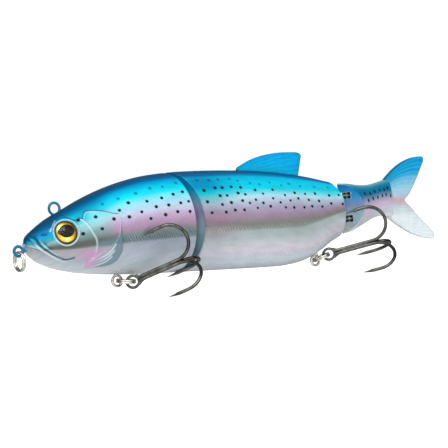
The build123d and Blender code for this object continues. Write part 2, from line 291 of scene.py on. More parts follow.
# Colour round the section, by degrees from the back. Besides the lure's own paint these ramps hold painted
# light: the pale band at about 51 to 75 degrees is a painted highlight, the olive-grey band at about 95 to
# 107 degrees on the head rear and body a painted reflection of the dark studio, the darker grey at about 155
# to 171 degrees painted shade where the belly turns under, and the pale top of the tail, 0 to 28 degrees, a
# painted highlight.
HEAD_FRONT_PAINT_AND_LIGHT = by_angle([
    (0, "2c4250"), (8, "0d4a66"), (20, "04507a"), (28, "005e92"), (36, "0280b0"), (46, "04a2c4"),
    (56, "10a8c2"), (62, "4cb8ca"), (68, "82c4cc"), (76, "90bac0"), (84, "7c9c9c"), (91, "6f8683"),
    (97, "5c6260"), (103, "58605a"), (106, "6c7069"), (108, "9a999f"), (116, "a4a3ac"),
    (130, "a8acb8"), (145, "b6c0c6"), (160, "c4c9ce"), (180, "dcdfe2"),
])
HEAD_REAR_PAINT_AND_LIGHT = by_angle([
    (0, "3a505c"), (8, "25566e"), (18, "08507e"), (26, "0166a0"), (34, "02a8da"), (42, "02cef2"),
    (51, "1edff0"), (57, "70e2ef"), (64, "98d4e8"), (72, "b4c4d8"), (78, "b6aac6"),
    (85, "ae92b2"), (93, "9c839c"), (98, "757b7e"), (103, "5c7073"), (107, "62787e"),
    (110, "9da5b2"), (118, "aab2c0"), (130, "b6bec9"), (145, "b6c0c5"), (158, "b2babe"),
    (170, "b4b9bd"), (180, "c8ccd0"),
])
BODY_FRONT_PAINT_AND_LIGHT = by_angle([
    (0, "29475a"), (8, "0a4c70"), (20, "005888"), (27, "0166a0"), (34, "029ccc"), (42, "038fc0"),
    (50, "0592c4"), (57, "02b4ce"), (62, "2cb8c6"), (67, "66b4b8"), (74, "96a8b8"), (82, "948a9f"),
    (90, "967a8d"), (98, "82787c"), (106, "9a9496"), (114, "aaaeb6"), (122, "b6bec2"), (130, "c6c4cc"),
    (140, "bec2ce"), (150, "b4bec4"), (160, "acb4bc"), (171, "a8adb5"), (180, "c0c4ca"),
])
BODY_PAINT_AND_LIGHT = by_angle([
    (0, "29475a"), (8, "0a4c70"), (20, "005888"), (27, "027cb2"), (34, "02c0ea"), (44, "04d0f2"),
    (56, "12d0e8"), (61, "56d8e8"), (67, "a8dcea"), (72, "b0c2d4"), (80, "a59fba"), (88, "9c8ba4"),
    (95, "8d8188"), (100, "7c8078"), (104, "848c88"), (107, "a8b5b5"), (115, "b5c1c5"),
    (124, "cdd1d8"), (132, "d8d1dc"), (140, "cbceda"), (150, "bfcbd2"), (160, "b0bac1"),
    (171, "a8adb5"), (180, "c0c4ca"),
])
TAIL_PAINT_AND_LIGHT = by_angle([
    (0, "a8bac8"), (12, "8ca6b8"), (20, "6f9cb0"), (28, "4b93ac"), (36, "1f85a4"), (44, "057a9f"),
    (54, "05709a"), (62, "14709a"), (68, "3f7c9e"), (76, "7590ac"), (84, "98a2bc"), (92, "b8b0ca"),
    (100, "d0bad6"), (108, "dac8e0"), (118, "d8cee2"), (128, "cfcfdb"), (142, "cacfd6"),
    (155, "d6dade"), (180, "d4d8dc"),
])
BODY_FACET_PAINT = [
    (0.0, "587e86"), (0.2, "5c7a82"), (0.3, "64868f"), (0.42, "7c98a5"), (0.5, "8089a0"), (0.58, "7c7898"),
    (0.65, "7088a2"), (0.72, "4a8ca4"), (0.8, "0680a4"), (0.88, "046c90"), (1.0, "0a5a84"),
]
TAIL_FACET_PAINT = [
    (0.0, "a8aeb0"), (0.2, "8ea4aa"), (0.35, "7e98a4"), (0.48, "7a8ea6"), (0.58, "6280aa"), (0.66, "3a82ae"),
    (0.72, "1080b0"), (0.8, "0478b0"), (0.9, "046ca4"), (1.0, "06588a"),
]


def make_skin_paint_and_light(name, paints, hatch):
    """Pearl paint with bands, spots and scale marks under clear lacquer, and painted light: the ramps hold
    painted highlights, a painted reflection and painted shade; the pale marks are painted highlights, the
    dark and shadow marks painted shade.

    paints: one set of ramp stops, or two with the stretch of x in which one turns into the other.
    hatch: spacing of the slanted strokes along the flank, in millimetres.
    """
    g = Graph(name)
    around, along, arc = g.attribute("around"), g.attribute("along"), g.attribute("arc")
    colour = g.ramp(around, paints[0])
    if len(paints) == 3:
        colour = g.mix(g.step(along, *paints[2]), colour, g.ramp(around, paints[1]))
    run, rise = g.math("MULTIPLY", along, 0.55), g.math("MULTIPLY", arc, 0.72)
    cells = g.combine(g.math("ADD", run, rise), g.math("SUBTRACT", run, rise))
    scale_edge = g.step(g.voronoi(cells, 1.0, 0.2), 0.3, 0.66)
    scale_amount = g.attribute("scales")
    marks = g.math("MULTIPLY", g.math("MULTIPLY", scale_edge, scale_amount), 0.09)
    colour = g.mix(marks, colour, "8a97a0", "MULTIPLY")
    phase = g.math("MULTIPLY", g.math("SUBTRACT", along, g.math("MULTIPLY", arc, 0.5)), 2 * math.pi / hatch)
    slant = g.math("SINE", g.math("ADD", phase, g.math("MULTIPLY", g.noise(g.position(1000), 0.6), 9.0)))
    comb = g.math("MULTIPLY", g.step(slant, -0.2, 0.9), g.attribute("comb"))
    colour = g.mix(g.math("MULTIPLY", comb, 0.26), colour, "c4ccd0")
    low_comb = g.math("MULTIPLY", g.step(slant, 0.0, 0.9), g.attribute("comb_dark"))
    colour = g.mix(g.math("MULTIPLY", low_comb, 0.2), colour, "8d9c9e")
    drift = g.noise(g.combine(g.math("MULTIPLY", along, 0.1), g.math("MULTIPLY", arc, 0.3)), 1.6)
    colour = g.mix(g.step(drift, 0.3, 0.75, 0.0, 0.45), colour, "dcdcdc", "MULTIPLY")
    colour = g.mix(g.attribute("blush"), colour, "cf7fbd")
    colour = g.mix(g.attribute("shadow"), colour, "64808a")
    # Painted highlight: pale marks along the raised lips, gill edges, gill rays and eye rim.
    colour = g.mix(g.attribute("pale"), colour, "d9eef2")
    # Painted shade: dark marks in the grooves, under the gill cover's top edge and along the skin's edges at
    # the joints.
    colour = g.mix(g.attribute("dark"), colour, "0d4f60")
    spot = g.math("MULTIPLY", g.step(g.attribute("spots"), 0.18, -0.12), g.attribute("spot_strength"))
    colour = g.mix(spot, colour, "10202c")
    flakes = g.noise(g.position(1000), 9.0, 2.0)
    g.set(Base_Color=colour, Metallic=0.3, Specular_IOR_Level=0.05, Coat_Weight=0.07, Coat_Roughness=0.08)
    g.set(Roughness=g.step(flakes, 0.3, 0.7, 0.34, 0.44))
    relief = g.math("ADD", g.math("MULTIPLY", g.math("MULTIPLY", scale_edge, scale_amount), -1.0),
                    g.math("MULTIPLY", flakes, 0.08))
    g.bump(relief, 0.15, 0.05)
    return g.material


def make_facet_paint(name, stops):
    """The joints' smooth lacquered faces, darker towards the back of the fish."""
    g = Graph(name)
    colour = g.ramp(g.attribute("height"), stops)
    cloud = g.noise(g.position(1000), 0.25, 2.0)
    colour = g.mix(g.step(cloud, 0.35, 0.7, 0.0, 0.6), colour, "cfd6dc", "MULTIPLY")
    g.set(Base_Color=colour, Roughness=0.3, Specular_IOR_Level=0.08, Coat_Weight=0.1, Coat_Roughness=0.04)
    g.bump(g.noise(g.position(1000), 3.0, 2.0), 0.1, 0.04)
    return g.material


def make_slot_dark():
    g = Graph("slot_dark")
    grime = g.noise(g.position(1000), 1.5, 3.0)
    g.set(Base_Color=g.mix(g.step(grime, 0.3, 0.7), "4a8a90", "5ea0a4"), Roughness=0.6)
    return g.material


def make_metal(name, dark, light, roughness, grain=8.0, tint=None):
    """Plated wire: fine drawing marks and slow changes of tone. tint: (colour, share) of wear."""
    g = Graph(name)
    where = g.position(1000)
    tone = g.step(g.noise(where, grain * 0.12, 3.0), 0.3, 0.7)
    colour = g.mix(tone, dark, light)
    if tint:
        colour = g.mix(g.step(g.noise(where, 0.5, 4.0), 0.62, 0.7, 0.0, tint[1]), colour, tint[0])
    g.set(Base_Color=colour, Metallic=1.0)
    g.set(Roughness=g.step(g.noise(where, grain, 2.0), 0.2, 0.8, roughness * 0.7, roughness * 1.3))
    g.bump(g.noise(where, grain, 2.0), 0.12, 0.02)
    return g.material


def make_wire_paint():
    """Thick blue paint on a wire loop, with small chips down to the steel."""
    g = Graph("wire_paint")
    where = g.position(1000)
    colour = g.mix(g.step(g.noise(where, 0.5), 0.35, 0.65), "075a7c", "0a759a")
    chips = g.step(g.noise(where, 1.1, 5.0, 0.6), 0.70, 0.73)
    g.set(Base_Color=g.mix(chips, colour, "b8b4a8"), Metallic=chips, Roughness=0.3, Specular_IOR_Level=0.3)
    g.bump(g.noise(where, 1.4, 3.0), 0.25, 0.05)
    return g.material


def make_fin_paint(name, ramp_of, stops, rays, edges, clear):
    """Soft translucent fin: colour across its lobes, fine rays, light passing through.

    stops, rays and edges are ramps along the attribute ramp_of for the fin, its rays and its rim.
    clear: (share of see-through where the ramp starts, and where it ends).
    """
    g = Graph(name)
    across = g.attribute(ramp_of)
    colour = g.ramp(across, stops)
    cloud = g.noise(g.position(1000), 0.35, 3.0)
    colour = g.mix(g.step(cloud, 0.35, 0.7, 0.0, 0.5), colour, "e2e6ea", "MULTIPLY")
    colour = g.mix(g.math("MULTIPLY", g.attribute("ray"), 0.22), colour, g.ramp(across, rays))
    colour = g.mix(g.math("MULTIPLY", g.attribute("edge"), 0.95), colour, g.ramp(across, edges))
    g.set(Base_Color=colour, Roughness=0.4, Specular_IOR_Level=0.06)
    g.bump(g.noise(g.position(1000), 5.0, 2.0), 0.15, 0.03)
    glow = g.nodes.new("ShaderNodeBsdfTranslucent")
    g.put(glow.inputs[0], colour)
    soft = g.nodes.new("ShaderNodeMixShader")
    soft.inputs[0].default_value = 0.35
    g.links.new(g.shader.outputs[0], soft.inputs[1])
    g.links.new(glow.outputs[0], soft.inputs[2])
    see = g.nodes.new("ShaderNodeBsdfTransparent")
    both = g.nodes.new("ShaderNodeMixShader")
    g.put(both.inputs[0], g.step(across, 0.1, 0.7, *clear))
    g.links.new(soft.outputs[0], both.inputs[1])
    g.links.new(see.outputs[0], both.inputs[2])
    g.links.new(both.outputs[0], g.output.inputs[0])
    return g.material


def make_iris_paint():
    """Gold film, brighter and darker round the ring by painted reflection, with fine radial marks and a black
    pupil.
    """
    g = Graph("iris_gold")
    radius, turn = g.attribute("radius"), g.attribute("turn")
    marks = g.noise(g.combine(g.math("MULTIPLY", turn, 6.0), radius), 2.0, 3.0)
    # glow carries the painted reflection round the ring.
    shade = g.math("ADD", g.attribute("glow"), g.step(marks, 0.3, 0.7, -0.08, 0.08))
    colour = g.ramp(shade, [(0.0, "4f4418"), (0.2, "85641a"), (0.4, "bd851a"), (0.6, "e8b01e"),
                            (0.8, "ffdc36"), (1.0, "fff2a6")])
    colour = g.mix(g.step(radius, 0.83, 0.93), colour, "4f421c")
    colour = g.mix(g.step(radius, 0.92, 0.965), colour, "1e2c34")
    colour = g.mix(g.step(g.attribute("pupil"), 0.14, -0.05), colour, "030507")
    g.set(Base_Color=colour, Metallic=g.step(g.attribute("pupil"), -0.04, 0.2, 0.0, 0.4))
    g.set(Roughness=0.35, Specular_IOR_Level=0.15)
    g.bump(marks, 0.05, 0.05)
    return g.material


def make_lens_clear():
    """A thin clear dome: see-through, with a glossy skin."""
    g = Graph("lens_clear")
    haze = g.noise(g.position(1000), 0.6, 2.0)
    gloss = g.nodes.new("ShaderNodeBsdfGlossy")
    gloss.inputs["Roughness"].default_value = 0.03
    clear = g.nodes.new("ShaderNodeBsdfTransparent")
    fresnel = g.nodes.new("ShaderNodeFresnel")
    fresnel.inputs["IOR"].default_value = 1.33
    both = g.nodes.new("ShaderNodeMixShader")
    gloss_share = g.math("MULTIPLY", fresnel.outputs[0], 0.6)
    g.links.new(g.math("ADD", gloss_share, g.step(haze, 0.4, 0.9, 0.0, 0.02)), both.inputs[0])
    g.links.new(clear.outputs[0], both.inputs[1])
    g.links.new(gloss.outputs[0], both.inputs[2])
    g.links.new(both.outputs[0], g.output.inputs[0])
    g.nodes.remove(g.shader)
    return g.material


HEAD_PAINT_AND_LIGHT = make_skin_paint_and_light("head_paint_and_light", (HEAD_FRONT_PAINT_AND_LIGHT, HEAD_REAR_PAINT_AND_LIGHT, (25.0, 37.0)), 0.9)
FLANK_PAINT_AND_LIGHT = make_skin_paint_and_light("flank_paint_and_light", (BODY_FRONT_PAINT_AND_LIGHT, BODY_PAINT_AND_LIGHT, (70.0, 90.0)), 1.25)
ROOT_PAINT_AND_LIGHT = make_skin_paint_and_light("root_paint_and_light", (TAIL_PAINT_AND_LIGHT,), 1.25)
BODY_FACET = make_facet_paint("body_facet_paint", BODY_FACET_PAINT)
TAIL_FACET = make_facet_paint("tail_facet_paint", TAIL_FACET_PAINT)
SLOT_DARK = make_slot_dark()
STEEL = make_metal("steel", "8e8e8a", "d2d0c8", 0.22)
RING_NICKEL = make_metal("ring_nickel", "b9b6ae", "e9e6de", 0.14)
BLACK_NICKEL = make_metal("black_nickel", "434441", "64645f", 0.15, 3.0, tint=("6a6559", 0.3))
DULL_STEEL = make_metal("dull_steel", "585c58", "868a84", 0.42)
BALLAST = make_metal("ballast", "4a4d50", "74787c", 0.5, 3.0)
WIRE_PAINT = make_wire_paint()
IRIS = make_iris_paint()
LENS = make_lens_clear()
TAIL_FIN_PAINT = make_fin_paint(
    "tail_fin_vinyl", "across",
    [(0.0, "04a0cf"), (0.10, "02abdd"), (0.165, "04abda"), (0.22, "70c6e2"), (0.30, "9ad2e6"),
     (0.38, "b4d6e6"),
     (0.44, "bfc6d8"), (0.48, "d0acbb"), (0.53, "d0aebb"), (0.58, "c9c2cc"), (0.63, "ccd8de"),
     (0.8, "dce8ec"),
     (1.0, "e0eaed")],
    [(0.0, "3cc0ec"), (0.3, "d5eef6"), (0.45, "dfe0ea"), (0.6, "98aab2"), (1.0, "96a8b0")],
    [(0.0, "14587c"), (0.08, "2a7f9f"), (0.3, "86b2c4"), (0.5, "b79cab"), (0.62, "9aa8ae"), (1.0, "94a2a8")],
    (0.0, 0.4))
DORSAL_PAINT = make_fin_paint(
    "dorsal_vinyl", "height", [(0.0, "06bfe2"), (0.35, "02bcea"), (0.75, "01b2ea"), (1.0, "06a6d6")],
    [(0.0, "3cc6ec"), (1.0, "3cbcec")], [(0.0, "14788f"), (1.0, "126880")], (0.0, 0.02))


# ---------------------------------------------------------------- curves drawn on the skin
# Each is a list of (x, angle) points, drawn on the left side and mirrored to the right.
MOUTH = [(3.9, 15), (4.4, 43), (4.9, 57), (5.4, 71), (5.8, 86), (6.5, 97), (8.1, 108.5), (10.4, 121),
         (12.5, 127.5), (13.9, 131)]
MOUTH_CORNER = [(13.9, 131), (15.6, 129), (17.3, 125)]
LIP_GAP = [(2.7, 20), (3.2, 60), (3.7, 76), (4.4, 92), (5.7, 106)]
LIP_LIGHT = [(3.4, 56), (4.2, 83), (5.0, 94), (6.2, 106), (8.1, 117), (10.1, 126), (13.5, 136), (17.5, 140)]
LIP_OVER = [(5.4, 55), (6.4, 81), (7.5, 96), (9.0, 108.5), (11.5, 121)]
MAXILLA = [(7.5, 86), (8.7, 99), (9.8, 105)]
GILL_TOP = [(14.8, 24), (15.8, 29), (16.6, 39.5), (17.7, 48.5), (18.8, 54), (20.1, 54), (21.4, 57),
            (22.0, 53),
            (22.7, 48), (24.1, 46.5), (28.7, 57), (32.0, 65), (34.0, 68.5)]
GILL_BACK = [(34.0, 68.5), (34.8, 73), (34.8, 80), (34.1, 90), (33.3, 99), (31.9, 106), (29.7, 113),
             (27.0, 120.5), (23.1, 131)]
GILL_RAYS = [
    [(31.9, 108), (29.6, 119), (26.4, 128), (22.6, 135)],
    [(31.4, 117), (29.2, 126), (26.2, 134), (22.3, 140)],
    [(30.7, 126), (28.4, 134.5), (25.4, 141), (22.4, 144.5)],
]
MEMBRANE_EDGE = [(34.6, 84), (34.6, 103), (34.5, 119), (33.0, 133.5), (30.6, 142), (26.6, 147), (22.5, 148)]
CHEEK_ARC = [(20.4, 55), (21.1, 59), (22.4, 69), (23.9, 85), (25.0, 97), (25.1, 109), (24.6, 119)]
BROW_FRONT = [(12.3, 26), (11.2, 36), (10.8, 44)]
SOCKET_FRONT = [(12.8, 36), (11.3, 48), (10.1, 58)]
NOSTRIL = [(7.4, 58), (8.7, 63)]


def dense_line(line, per_span=8):
    line = np.array(line, float)
    knots = np.arange(len(line), dtype=float)
    at = np.linspace(0, len(line) - 1, per_span * (len(line) - 1) + 1)
    return skin_points(curve_through(knots, line[:, 0], at), curve_through(knots, line[:, 1], at))


def distance_to_line(points, line):
    """Distance of every point to a drawn line, and how far along the line its foot is, 0 to 1."""
    joints = dense_line(line)
    best = np.full(len(points), 1e9)
    share = np.zeros(len(points))
    for i, (a, b) in enumerate(zip(joints[:-1], joints[1:])):
        run = b - a
        t = np.clip((points - a) @ run / (run @ run), 0, 1)
        gap = np.linalg.norm(points - a - t[:, None] * run, axis=1)
        nearer = gap < best
        best[nearer] = gap[nearer]
        share[nearer] = ((i + t) / (len(joints) - 1))[nearer]
    return best, share


def inside_outline(x, angle, outline):
    """True where (x, angle) lies inside a closed outline of (x, angle) points."""
    outline = np.array(outline, float)
    inside = np.zeros(len(x), bool)
    for (xa, aa), (xb, ab) in zip(outline, np.roll(outline, -1, axis=0)):
        crosses = (aa > angle) != (ab > angle)
        if aa != ab:
            inside ^= crosses & (x < (xb - xa) * (angle - aa) / (ab - aa) + xa)
    return inside


# ---------------------------------------------------------------- spots
# Each spot is (x, angle). They fade towards the back, above SPOT_FADE degrees.
HEAD_SPOTS = [
    (30, 46), (36, 46), (43, 46), (49, 43), (54, 44), (60, 40),
    (20, 57), (35, 64), (39, 57), (46, 61), (52, 60), (57, 57), (61, 55),
    (26, 63), (32, 74), (38, 76), (43, 73), (49, 70), (54, 70), (59, 69), (62.3, 68),
    (20.6, 83), (27.3, 83), (46, 83), (52, 81), (57, 79), (62, 80),
]
BODY_SPOTS = [
    (69, 38), (74, 39), (78, 38), (83, 37), (86, 41), (91, 45), (95, 47), (100, 43), (105, 47), (109, 43),
    (114, 46), (121, 45), (128, 43),
    (70, 55), (75, 52), (78, 52), (82, 51), (86, 52), (92, 56), (95, 61), (100, 55), (105, 62), (110, 58),
    (115, 59), (120, 58), (127, 61), (132, 60),
    (70, 70), (76, 63), (79, 63), (84, 60), (87, 62), (85, 70), (91, 69), (99, 67), (88, 73), (94, 73),
    (102, 72), (107, 69), (111, 66), (116, 68), (121, 70),
    (71, 83), (76, 74), (80, 72), (77, 83), (81, 81), (85, 81), (91, 79), (97, 77), (104, 78), (108, 78),
    (113, 78), (117, 77), (122, 79), (127, 76), (133, 80),
]
TAIL_SPOTS = [
    (145.8, 58), (148.9, 60), (151.6, 56), (154.5, 57), (157, 60), (159, 57), (161.2, 49),
    (146.9, 81), (149.7, 79), (152.5, 80), (155.3, 80), (157.5, 79), (160, 84),
]
SPOT_RADIUS = 0.56
SPOT_FADE = 49


def distance_to_spots(points, spots, seed, stretch=1.0):
    """Distance to the edge of the nearest spot, and its strength. stretch makes the spots tall and thin."""
    rng = np.random.default_rng(seed)
    best = np.full(len(points), 9.0)
    strength = np.ones(len(points))
    for x, angle in spots:
        centre = skin_points(np.array(float(x)), np.array(float(angle)))
        radius = SPOT_RADIUS * rng.uniform(0.88, 1.1) * (0.88 if x > 87 else 1.0)
        gap = np.linalg.norm((points - centre) / (1.15 / stretch, 1.0, stretch), axis=1)
        gap = gap - radius
        nearer = gap < best
        best[nearer] = gap[nearer]
        strength[nearer] = 0.55 if angle < SPOT_FADE and stretch == 1.0 else 1.0
    return best, strength


# ---------------------------------------------------------------- skins
RIM_RADIUS = 0.45
RIM_TURNS = np.linspace(0, math.pi / 2, 9)


def rows_between(count):
    """Row positions from 0 to 1 with the rim's rows left out, for the middle of a skin."""
    return np.linspace(0, 1, count + 2)[1:-1]


def make_section(name, front, rear, rows, columns, dress, round_front=False, rear_rim=(0.0, 0.0)):
    """A closed skin between two V-shaped faces.

    front, rear: (tip, slope) of the faces. dress(points, x, angle) gives how far each point is
    raised, and the attributes for its paint. round_front closes the front as a rounded nose.
    rear_rim: extra rounding of the rear edge at the back and at the belly.
    """
    angle = np.arange(columns) * 360.0 / columns
    left_angle = np.where(angle <= 180, angle, 360 - angle)

    front_radius = np.full(columns, RIM_RADIUS)
    rear_radius = RIM_RADIUS + rear_rim[0] * smooth(left_angle, 75, 20)
    rear_radius += rear_rim[1] * smooth(left_angle, 120, 170)

    def edge(tip, slope, radius):
        x = np.full(columns, tip)
        for _ in range(12):
            x = tip + slope * np.abs(skin_points(x, angle, radius)[:, 1])
        return x

    start, end = edge(*front, front_radius), edge(*rear, rear_radius)
    offsets = [start + front_radius * (1 - math.cos(t)) for t in RIM_TURNS]
    span = end - rear_radius - start - front_radius
    offsets += [start + front_radius + span * t for t in rows_between(rows)]
    offsets += [end - rear_radius * (1 - math.cos(t)) for t in RIM_TURNS[::-1]]
    x = np.array(offsets)
    from_start, from_end = x - start, end - x
    inset = np.zeros_like(x)
    for i, t in enumerate(RIM_TURNS):
        inset[i] += front_radius * (1 - math.sin(t))
        inset[-1 - i] += rear_radius * (1 - math.sin(t))
    grid_angle = np.broadcast_to(angle, x.shape)
    points = skin_points(x, grid_angle, inset)
    flat = points.reshape(-1, 3)
    mirrored = flat * (1, -1, 1)
    left = np.where(flat[:, 1:2] <= 0, flat, mirrored)
    flat_x = x.ravel()
    flat_angle = np.broadcast_to(left_angle, x.shape).ravel()
    raised, attributes = dress(left, flat_x, flat_angle)
    hold = smooth(np.minimum(from_start, from_end).ravel(), 0.0, 0.6)
    normals = skin_normals(x, grid_angle).reshape(-1, 3)
    verts = [flat + normals * (raised * hold)[:, None]]
    count = len(flat)
    faces = []
    row_count = len(offsets)
    for i in range(row_count - 1):
        a = i * columns
        for j in range(columns):
            k = (j + 1) % columns
            faces.append((a + j, a + columns + j, a + columns + k, a + k))
    skin_faces = len(faces)

    def cap(first, tip, slope, outward):
        nonlocal count
        across = 20
        ring = verts[0][first:first + columns]
        half = columns // 2
        table = np.zeros((half + 1, across + 1), int)
        for j in range(half + 1):
            mirror = (columns - j) % columns
            table[j, 0], table[j, -1] = first + j, first + mirror
            if j in (0, half):
                table[j, :] = first + j
                continue
            a, b = ring[j], ring[mirror]
            share = np.linspace(0, 1, across + 1)[1:-1, None]
            inner = a + (b - a) * share
            inner[:, 0] = tip + slope * np.abs(inner[:, 1])
            table[j, 1:-1] = count + np.arange(across - 1)
            verts.append(inner)
            count += across - 1
        for j in range(half):
            for i in range(across):
                corners = [table[j, i], table[j, i + 1], table[j + 1, i + 1], table[j + 1, i]]
                unique = list(dict.fromkeys(corners))
                if len(unique) > 2:
                    faces.append(unique[::-1] if outward else unique)

    if round_front:
        centre = verts[0][:columns].mean(axis=0) + (-0.7, 0, 0)
        previous = 0
        for share in (0.85, 0.65, 0.4, 0.18):
            ring = centre + (verts[0][:columns] - centre) * (share, share, share)
            ring[:, 0] = start - 0.7 * math.sqrt(1 - share**2)
            verts.append(ring)
            for j in range(columns):
                k = (j + 1) % columns
                faces.append((previous + k, count + k, count + j, previous + j))
            previous = count
            count += columns
        verts.append(centre[None])
        for j in range(columns):
            faces.append((previous + (j + 1) % columns, count, previous + j))
        count += 1
    else:
        cap(0, *front, outward=True)
    nose_faces = len(faces) if round_front else skin_faces
    cap((row_count - 1) * columns, *rear, outward=False)
    verts = np.concatenate(verts)
    piece = make_mesh(name, verts, faces)
    for key, values in attributes.items():
        full = np.zeros(len(verts))
        full[:len(values)] = values
        if len(verts) > len(values) and round_front:
            fill = 9.0 if key == "spots" else 0.0
            full[len(values):] = fill
            if key in ("around", "along"):
                tail_part = verts[len(values):]
                turn = np.degrees(np.arctan2(np.abs(tail_part[:, 1]), tail_part[:, 2] - 1.8))
                full[len(values):] = turn / 180 if key == "around" else tail_part[:, 0]
        add_attribute(piece, key, full)
    low, high = verts[:, 2].min(), verts[:, 2].max()
    middle, half_height, _ = section(np.clip(verts[:, 0], NOSE_X, TAIL_END_X))
    add_attribute(piece, "height", np.clip((verts[:, 2] - middle) / half_height, -1, 1) * 0.5 + 0.5)
    index = np.zeros(len(piece.data.polygons), np.int32)
    index[nose_faces:] = 1
    return piece, index


def paint_coordinates(x, angle, points):
    middle, half_height, half_width = section(x)
    arc = np.radians(angle) * np.sqrt((half_height**2 + half_width**2) / 2)
    return {"along": x, "arc": arc}


def groove(distance, width, depth):
    return -depth * np.exp(-(distance / width) ** 2)


def dress_head(points, x, angle):
    """Relief, paint marks and painted light and shade of the head: mouth, lips, eye socket, gill covers and
    scales.
    """
    at = paint_coordinates(x, angle, points)
    shift = np.interp(angle, (0, 20, 34, 50, 58, 74, 82, 90, 100), (0, 8, 13, 22, 27, 30, 27, 12, 0))
    shift *= smooth(x, 16, 9)
    shift += 26 * smooth(x, 9.5, 7.0) * smooth(angle, 70, 88) * smooth(angle, 111, 105)
    at["around"] = (angle - shift) / 180
    raised = np.zeros(len(x))
    dark = np.zeros(len(x))
    pale = np.zeros(len(x))

    # Below, the dark marks along the grooves and under the gill cover's top edge are painted shade, and the
    # pale marks along the raised lips, cheek arc, gill edges, gill rays and socket are painted highlight.
    mouth, share = distance_to_line(points, MOUTH)
    corner, corner_share = distance_to_line(points, MOUTH_CORNER)
    raised += groove(mouth, 0.36, 0.34) + groove(corner, 0.35, 0.24 * (1 - 0.6 * corner_share))
    dark = np.maximum(dark, smooth(mouth, 0.46, 0.2) * (0.9 - 0.3 * smooth(share, 0.5, 1.0)))
    dark = np.maximum(dark, smooth(corner, 0.46, 0.2) * 0.8)
    gap, share = distance_to_line(points, LIP_GAP)
    raised += groove(gap, 0.32, 0.28 * smooth(share, 1.0, 0.6))
    dark = np.maximum(dark, smooth(gap, 0.5, 0.15) * 0.6 * smooth(share, 1.0, 0.6))
    light, share = distance_to_line(points, LIP_LIGHT)
    raised += 0.16 * np.exp(-(light / 0.4) ** 2) * smooth(share, 1.0, 0.7)
    pale = np.maximum(pale, smooth(light, 0.5, 0.1) * 0.5 * smooth(share, 1.0, 0.7) * smooth(share, 0.0, 0.3))
    over, share = distance_to_line(points, LIP_OVER)
    raised += 0.2 * np.exp(-(over / 0.45) ** 2) * smooth(share, 1.0, 0.8)
    pale = np.maximum(pale, smooth(over, 0.4, 0.1) * 0.38 * smooth(share, 0.1, 0.4))
    maxilla, share = distance_to_line(points, MAXILLA)
    raised += groove(maxilla, 0.35, 0.18)
    dark = np.maximum(dark, smooth(maxilla, 0.5, 0.15) * 0.6)

    cheek, share = distance_to_line(points, CHEEK_ARC)
    raised += 0.28 * np.exp(-(cheek / 0.42) ** 2) * smooth(share, 1.0, 0.85)
    pale = np.maximum(pale, 0.5 * smooth(cheek, 0.45, 0.1) * smooth(share, 1.02, 0.8))

    plate = inside_outline(x, angle, CHEEK_ARC[::-1] + GILL_TOP[5:] + GILL_BACK[1:])
    top, _ = distance_to_line(points, GILL_TOP)
    back, _ = distance_to_line(points, GILL_BACK)
    edge_gap = np.minimum(top, back)
    rise = 0.5 * smooth(x, 22.5, 30.0) + 0.12
    raised += np.where(plate, rise * smooth(edge_gap, 0.0, 0.32), 0)
    dark = np.maximum(dark, smooth(top, 0.36, 0.1) * 0.8 * ~(plate & (top > 0.2)))
    rim = smooth(np.abs(back - 0.28), 0.26, 0.08) * plate
    rim = np.maximum(rim, 0.6 * smooth(np.abs(top - 0.4), 0.28, 0.08) * plate * smooth(x, 20, 24))
    pale = np.maximum(pale, 0.6 * rim)
    # The upper part of the gill cover is lightened: painted highlight.
    pale = np.maximum(pale, 0.2 * plate * smooth(angle, 72, 52) * smooth(x, 22, 26))
    plum = 0.35 * plate * np.exp(-((x - 34.5) / 3.0) ** 2) * np.exp(-((angle - 83) / 9.0) ** 2)

    membrane = inside_outline(x, angle, GILL_BACK + MEMBRANE_EDGE[::-1])
    outer, _ = distance_to_line(points, MEMBRANE_EDGE)
    raised += np.where(membrane, 0.22 * smooth(outer, 0.0, 0.35), 0)
    shadow = np.where(membrane, 0.8 * smooth(outer, 6.0, 1.8) * smooth(x, 22.5, 28), 0)
    shadow = np.maximum(shadow, 0.8 * plate * np.exp(-((angle - 104.5) / 4.5) ** 2) * smooth(x, 23, 27))
    shadow = np.maximum(shadow, 0.5 * smooth(x, 13, 9) * np.exp(-((angle - 86) / 9.0) ** 2))
    shadow = np.maximum(shadow, 0.3 * smooth(x, 13, 9) * np.exp(-((angle - 116) / 9.0) ** 2))
    blush = 0.52 * np.exp(-((x - 23.2) / 4.2) ** 2 - ((angle - 121) / 9.5) ** 2)
    blush = np.maximum(blush, plum)
    for ray in GILL_RAYS:
        gap, share = distance_to_line(points, ray)
        raised += 0.14 * np.exp(-(gap / 0.4) ** 2)
        pale = np.maximum(pale, 0.58 * smooth(gap, 0.42, 0.1) * smooth(share, 0.95, 0.5))
        blush = np.maximum(blush, 0.65 * smooth(np.abs(gap - 0.6), 0.45, 0.1) * smooth(share, 0.35, 0.8))

    centre = np.array(EYE_CENTRE)
    gap = points - centre
    normal = np.array(EYE_NORMAL)
    from_eye = np.linalg.norm(gap - np.outer(gap @ normal, normal), axis=1)
    from_eye[points[:, 1] > 2] = 99
    raised += 0.42 * np.exp(-((from_eye - 4.35) / 0.38) ** 2) - 1.2 * smooth(from_eye, 3.95, 3.6)
    eye_rim = smooth(np.abs(from_eye - 4.35), 0.38, 0.1)
